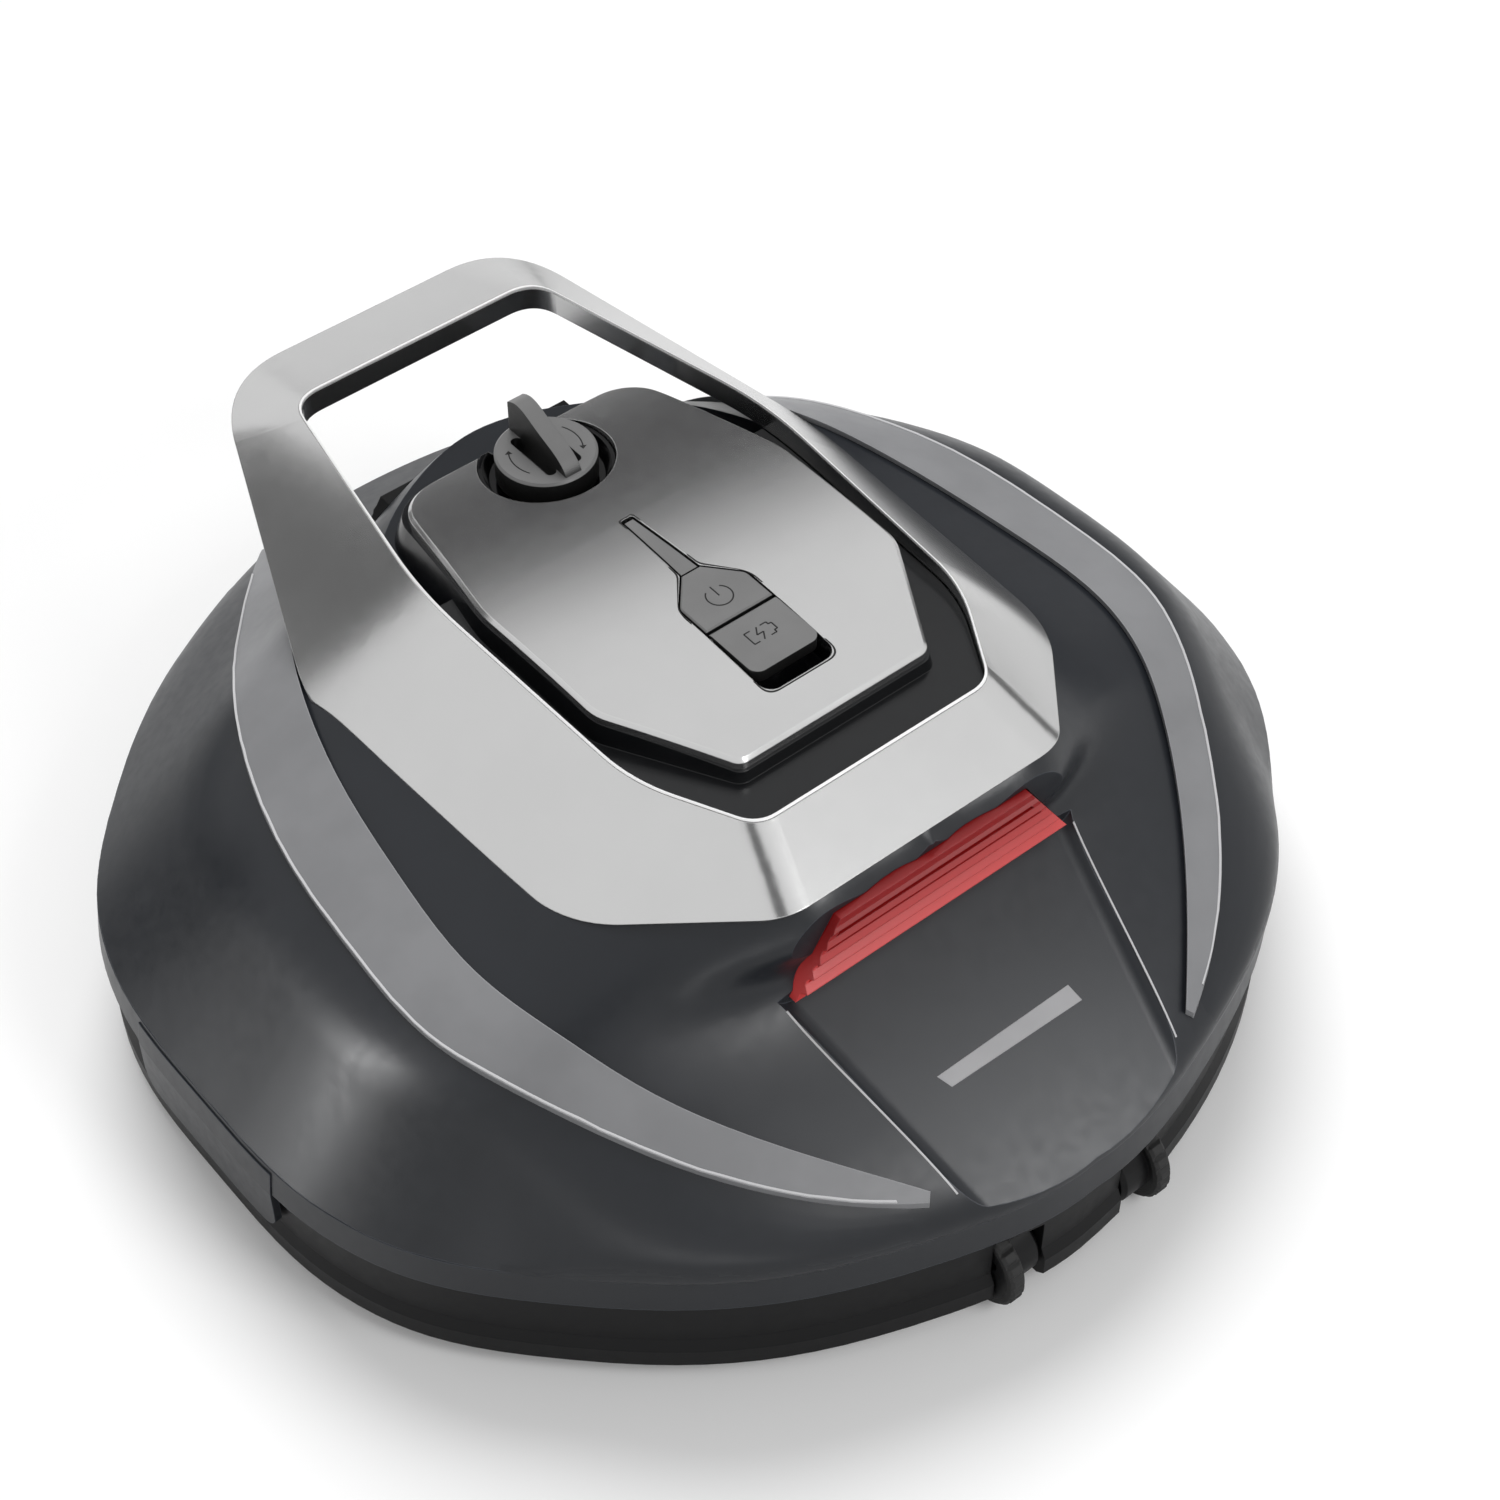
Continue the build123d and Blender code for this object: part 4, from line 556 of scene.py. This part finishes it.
def mesh_tree(node):
    points = [node.matrix_world @ v.co for v in node.data.vertices]
    return BVHTree.FromPolygons(points, [list(face.vertices) for face in node.data.polygons])


def plan(reach, turn):
    """Point of the plan at a reach and a turn from the middle."""
    return reach * math.cos(turn), reach * math.sin(turn)


def height_at(tree, x, y):
    """Height of the uppermost surface over a point of the plan."""
    hit = tree.ray_cast(Vector((x, y, SCAN_FROM)) * MM, Vector((0, 0, -1)))[0]
    return hit.z / MM if hit else None


def scan_in(tree, turn, lowest):
    """Outermost reach at which the surface stands above a height."""
    reach = OUTERMOST
    while reach > INNERMOST:
        height = height_at(tree, *plan(reach, turn))
        if height is not None and height >= lowest:
            return reach
        reach -= SCAN_STEP / 2
    return None


def drawn_tight(points):
    """Upper hull of a profile."""
    hull = []
    for p in points:
        while len(hull) > 1:
            a, b = hull[-2], hull[-1]
            if (b[0] - a[0]) * (p[1] - a[1]) < (b[1] - a[1]) * (p[0] - a[0]):
                break
            hull.pop()
        hull.append(p)
    return hull


def height_on(line, reach):
    """Height of a profile at a reach."""
    for a, b in zip(line, line[1:]):
        if reach <= b[0]:
            return a[1] + (b[1] - a[1]) * (reach - a[0]) / (b[0] - a[0])
    return line[-1][1]


def draw_highlight_line(name, rows, hand):
    """Narrow raised line of painted highlight through pairs of plan points, each pair at its height."""
    high_rows = []
    low_rows = []
    for pair, height in rows:
        high_rows.append([(hand * x, y, height + LINE_PROUD) for x, y in pair])
        low_rows.append([(hand * x, y, height - LINE_SUNK) for x, y in pair])
    points, faces = grid_body(low_rows, high_rows, hand)
    mesh_piece(name, points, faces, EDGE_HIGHLIGHT_PAINT, "cover")


SHELL_TREE = mesh_tree(NODES["top_shell"])
STRIPE_TREE = mesh_tree(NODES["left_trim"])
flank_columns = []
stripe_rows = []
for degree in range(FLANK_START, FLANK_END + 1, FLANK_STEP):
    turn = math.radians(degree)
    stripe = scan_in(STRIPE_TREE, turn, 0.0)
    rim = scan_in(SHELL_TREE, turn, RIM_HEIGHT)
    if stripe is None or rim is None or rim - stripe < FLANK_LEAST:
        continue
    start = stripe - FLANK_OVERLAP
    steps = int((rim - start) / SCAN_STEP)
    profile = []
    for i in range(steps + 1):
        reach = start + (rim - start) * i / steps
        profile.append((reach, height_at(SHELL_TREE, *plan(reach, turn))))
    tight = drawn_tight(profile)
    column = []
    for i in range(FLANK_ROWS + 1):
        reach = start + (rim - start) * i / FLANK_ROWS
        column.append((reach, height_on(profile, reach), height_on(tight, reach)))
    flank_columns.append((turn, column))
    line_start = plan(stripe - LINE_WIDE, turn)
    line_end = plan(stripe + LINE_PAST, turn)
    stripe_rows.append(((line_start, line_end), height_at(STRIPE_TREE, *line_start)))

for side_name, hand in HANDS:
    high_rows = []
    low_rows = []
    for i, (turn, column) in enumerate(flank_columns):
        at_end = i in (0, len(flank_columns) - 1)
        lift = -FLANK_END_DIP if at_end else FLANK_PROUD
        high_row = []
        low_row = []
        for reach, plain, tight in column:
            x, y = plan(reach, turn)
            high_row.append((hand * x, y, tight + lift))
            x, y = plan(reach - FLANK_INSET, turn)
            low_row.append((hand * x, y, plain - FLANK_SUNK))
        high_rows.append(high_row)
        low_rows.append(low_row)
    points, faces = grid_body(low_rows, high_rows, hand)
    flank = mesh_piece(f"{side_name}_flank", points, faces, FINISHES["slate"], "cover")
    flank.data.shade_smooth()
    flank.data.set_sharp_from_angle(angle=FLANK_CREASE)
    draw_highlight_line(f"{side_name}_stripe_highlight_line", stripe_rows[1:-1], hand)


# Painted highlight: a pale line along the upper edges of the scoop's sides
SCOOP_NEAR = -188.0
SCOOP_FAR = -122.0
SCOOP_STEPS = 20
SCOOP_CORNER = (-59.75, -124.0)
SCOOP_SLANT = 0.205
SCOOP_GAP = 0.2
SCOOP_LINE = 0.7
scoop_rows = []
for step in range(SCOOP_STEPS + 1):
    y = SCOOP_NEAR + (SCOOP_FAR - SCOOP_NEAR) * step / SCOOP_STEPS
    x = SCOOP_CORNER[0] + (SCOOP_CORNER[1] - y) * SCOOP_SLANT - SCOOP_GAP
    height = height_at(SHELL_TREE, x - SCOOP_LINE / 2, y)
    scoop_rows.append((((x - SCOOP_LINE, y), (x, y)), height))
for side_name, hand in HANDS:
    draw_highlight_line(f"{side_name}_scoop_highlight_line", scoop_rows, hand)


# Treaded tyres
TYRE_HALF = 3.0
TYRE_BORE = 15.0
TYRE_CROWN = 18.0
TYRE_EDGE = 1.1
TYRE_SECTION = [
    (-TYRE_HALF, TYRE_BORE),
    (-TYRE_HALF, TYRE_CROWN - TYRE_EDGE),
    (-TYRE_HALF + TYRE_EDGE, TYRE_CROWN),
    (TYRE_HALF - TYRE_EDGE, TYRE_CROWN),
    (TYRE_HALF, TYRE_CROWN - TYRE_EDGE),
    (TYRE_HALF, TYRE_BORE),
]
GROOVE_RADIUS = 16.9
LUGS = 22
LUG_PARTS = 4
WHEEL_X = 32.5
WHEEL_Y = 187.0
WHEEL_Z = 18.0


def treaded_tyre(name, middle):
    """Tyre with cross grooves, in the outline of the plain one."""
    parts = LUGS * LUG_PARTS
    sides = len(TYRE_SECTION)
    points = []
    faces = []
    for i in range(parts):
        angle = 2 * math.pi * i / parts
        deep = i % LUG_PARTS == LUG_PARTS - 1
        for x, radius in TYRE_SECTION:
            r = min(radius, GROOVE_RADIUS) if deep else radius
            points.append((middle[0] + x, middle[1] + r * math.cos(angle),
                           middle[2] + r * math.sin(angle)))
    for i in range(parts):
        here = i * sides
        after = (i + 1) % parts * sides
        for k in range(sides):
            m = (k + 1) % sides
            faces.append([after + k, after + m, here + m, here + k])
    tyre = mesh_piece(f"{name}_tread", points, faces, FINISHES["rubber"], f"{name}_roller")
    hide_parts(f"{name}_tyre")


for end_name, b in (("front", -1), ("rear", 1)):
    for side_name, a in (("left", -1), ("right", 1)):
        treaded_tyre(f"{end_name}_{side_name}", (a * WHEEL_X, b * WHEEL_Y, WHEEL_Z))


# Rear louvre: the photograph shows nothing red behind the handle, so the hidden one is dark
louvre = bpy.data.objects.new("rear_louvre", NODES["rear_grille"].data.copy())
louvre.data.materials[0] = FINISHES["black_plastic"]
louvre.matrix_world = NODES["rear_grille"].matrix_world
bpy.context.scene.collection.objects.link(louvre)
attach(louvre, "cover")
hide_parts("rear_grille")


# Woven filter screen
SCREEN_X = 96.5
SCREEN_Y = 56.5
SCREEN_LOW = 52.5
PITCH = 2.5
THREAD = 0.5
THREAD_OVER = 0.3
threads = Sheet()


def thread_box(low_corner, high_corner, low):
    x0, y0 = low_corner
    x1, y1 = high_corner
    threads.prism([(x0, y0), (x1, y0), (x1, y1), (x0, y1)], level(low), level(low + THREAD))


for i in range(int(SCREEN_X * 2 / PITCH) + 1):
    x = -SCREEN_X + THREAD / 2 + i * PITCH
    thread_box((x - THREAD / 2, -SCREEN_Y), (x + THREAD / 2, SCREEN_Y), SCREEN_LOW)
for i in range(int(SCREEN_Y * 2 / PITCH) + 1):
    y = -SCREEN_Y + THREAD / 2 + i * PITCH
    thread_box((-SCREEN_X, y - THREAD / 2), (SCREEN_X, y + THREAD / 2), SCREEN_LOW + THREAD_OVER)
screen = mesh_piece("screen_weave", threads.points, threads.faces, FINISHES["screen_mesh"], "base")
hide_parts("filter_screen")


# Floor, which keeps the shadow
FLOOR_HALF = 4.0
FLOOR_COLOR = (0.86, 0.86, 0.86, 1.0)
FLOOR_LIFT = 0.12
WHITE = (1.0, 1.0, 1.0, 1.0)


def flat_mesh(name, corners):
    """One flat face that isn't part of the object, in metres."""
    mesh = bpy.data.meshes.new(name)
    mesh.from_pydata(corners, [], [range(len(corners))])
    piece = bpy.data.objects.new(name, mesh)
    bpy.context.scene.collection.objects.link(piece)
    return piece


floor = flat_mesh("floor", [(-FLOOR_HALF, -FLOOR_HALF, 0), (FLOOR_HALF, -FLOOR_HALF, 0),
                            (FLOOR_HALF, FLOOR_HALF, 0), (-FLOOR_HALF, FLOOR_HALF, 0)])
floor_finish = Shader("floor_paper")
floor_finish.set(Roughness=0.9, Base_Color=FLOOR_COLOR, Specular_IOR_Level=0.1, Emission_Color=WHITE)
floor_path = floor_finish.tree.nodes.new("ShaderNodeLightPath")
floor_lift = floor_finish.tree.nodes.new("ShaderNodeMath")
floor_lift.operation = "MULTIPLY"
floor_lift.inputs[1].default_value = FLOOR_LIFT
floor_finish.join(floor_path.outputs["Is Camera Ray"], floor_lift.inputs[0])
floor_finish.join(floor_lift.outputs["Value"], floor_finish.shader.inputs["Emission Strength"])
floor.data.materials.append(floor_finish.material)


# World: soft light, and white where the camera, a reflection or a clear piece sees it
WORLD_LIGHT = 0.45
WORLD_WHITE = 1.0
world = bpy.data.worlds.new("studio")
bpy.context.scene.world = world
world.use_nodes = True
world_tree = world.node_tree
world_tree.nodes.clear()


def background(strength):
    node = world_tree.nodes.new("ShaderNodeBackground")
    node.inputs["Color"].default_value = WHITE
    node.inputs["Strength"].default_value = strength
    return node.outputs["Background"]


world_path = world_tree.nodes.new("ShaderNodeLightPath")
seen = world_path.outputs["Is Camera Ray"]
for output in ("Is Glossy Ray", "Is Transmission Ray"):
    either = world_tree.nodes.new("ShaderNodeMath")
    either.operation = "MAXIMUM"
    world_tree.links.new(seen, either.inputs[0])
    world_tree.links.new(world_path.outputs[output], either.inputs[1])
    seen = either.outputs["Value"]
world_mix = world_tree.nodes.new("ShaderNodeMixShader")
world_tree.links.new(seen, world_mix.inputs["Fac"])
world_tree.links.new(background(WORLD_LIGHT), world_mix.inputs[1])
world_tree.links.new(background(WORLD_WHITE), world_mix.inputs[2])
world_out = world_tree.nodes.new("ShaderNodeOutputWorld")
world_tree.links.new(world_mix.outputs["Shader"], world_out.inputs["Surface"])


# Dark cards that shape the reflections
DARK = (0.04, 0.04, 0.042)
DIM = (0.12, 0.12, 0.12)
PALE = (0.95, 0.95, 0.95)
UPWARD = (0.0, math.radians(90), 0.0)


def dark_card(name, corners, stops):
    """A card that only reflections see, as a studio flag, graded from its foot to its top."""
    card = flat_mesh(name, corners)
    finish = Shader(name)
    gradient = finish.tree.nodes.new("ShaderNodeTexGradient")
    mapping = finish.tree.nodes.new("ShaderNodeMapping")
    mapping.inputs["Rotation"].default_value = UPWARD
    across = finish.tree.nodes.new("ShaderNodeTexCoord").outputs["Generated"]
    finish.join(across, mapping.inputs["Vector"])
    finish.join(mapping.outputs["Vector"], gradient.inputs["Vector"])
    light = finish.tree.nodes.new("ShaderNodeEmission")
    finish.join(finish.ramp(gradient.outputs["Fac"], stops), light.inputs["Color"])
    finish.join(light.outputs["Emission"], finish.tree.nodes["Material Output"].inputs["Surface"])
    card.data.materials.append(finish.material)
    card.visible_camera = False
    card.visible_shadow = False
    card.visible_diffuse = False


def standing_card(name, foot, along, tall, stops):
    """A card that stands upright over the middle of its foot."""
    middle = Vector(foot)
    side = Vector(along)
    up = Vector((0, 0, tall))
    corners = [middle - side, middle + side, middle + side + up, middle - side + up]
    dark_card(name, [tuple(corner) for corner in corners], stops)


standing_card("rear_card", (0.62, 1.074, 0.62), (0.364, -0.21, 0), 0.72,
              [(0.0, DARK), (0.62, DARK), (1.0, PALE)])
standing_card("left_card", (-0.722, 0.958, 0.20), (0.136, 0.102, 0), 0.54, [(0.0, DIM), (1.0, DIM)])
standing_card("right_card", (1.2, 0.06, 0.22), (0, 0.26, 0), 0.32, [(0.0, DIM), (1.0, DIM)])
standing_card("right_rear_card", (1.04, 0.60, 0.0), (-0.225, 0.39, 0), 0.45, [(0.0, DARK), (1.0, DIM)])
standing_card("left_low_card", (-0.35, 0.62, 0.005), (0.28, 0.105, 0), 0.15, [(0.0, DARK), (1.0, DIM)])
UPPER_CARD = [(-0.70, -0.57, 1.33), (-0.39, -0.80, 1.33), (-0.16, -0.51, 1.47), (-0.47, -0.28, 1.47)]
dark_card("upper_card", UPPER_CARD, [(0.0, DARK), (1.0, DARK)])


# Lamps
BODY_MIDDLE = (0, 0, 0.06)
SUN_DIRECTION = (-0.30, -0.58, -0.76)
SUN_STRENGTH = 2.3
SUN_ANGLE = math.radians(40)


def softbox(name, place, aim, size, energy):
    data = bpy.data.lights.new(name, "AREA")
    data.shape = "RECTANGLE"
    data.size, data.size_y = size
    data.energy = energy
    lamp = bpy.data.objects.new(name, data)
    lamp.location = place
    lamp.rotation_euler = looking(place, aim)
    lamp.visible_camera = False
    bpy.context.scene.collection.objects.link(lamp)
    return lamp


def highlight_on(lamp, names):
    """The lamp puts a highlight on the named pieces alone, as a narrow spot with flags would."""
    group = bpy.data.collections.new(lamp.name)
    for name in names:
        group.objects.link(bpy.data.objects[name])
    lamp.light_linking.receiver_collection = group
    lamp.visible_diffuse = False


SHELL_NAME = NODES["top_shell"].name
left_strip = softbox("left_strip", (-1.14, 0.33, 0.50), BODY_MIDDLE, (0.22, 0.70), 10)
highlight_on(left_strip, ["left_flank"])
front_strip = softbox("front_strip", (-0.87, -0.97, 0.35), BODY_MIDDLE, (0.9, 0.25), 1.4)
highlight_on(front_strip, ["left_flank", SHELL_NAME])
scoop_strip = softbox("scoop_strip", (0.20, -0.50, 0.45), (0, -0.16, 0.08), (0.2, 0.08), 1.0)
highlight_on(scoop_strip, [SHELL_NAME])
softbox("fill", (0.28, -1.15, 1.15), (0, 0, 0.08), (0.5, 0.5), 6)
sun_data = bpy.data.lights.new("rear_light", "SUN")
sun_data.energy = SUN_STRENGTH
sun_data.angle = SUN_ANGLE
sun = bpy.data.objects.new("rear_light", sun_data)
sun.rotation_euler = looking((0, 0, 0), SUN_DIRECTION)
sun.visible_glossy = False
bpy.context.scene.collection.objects.link(sun)
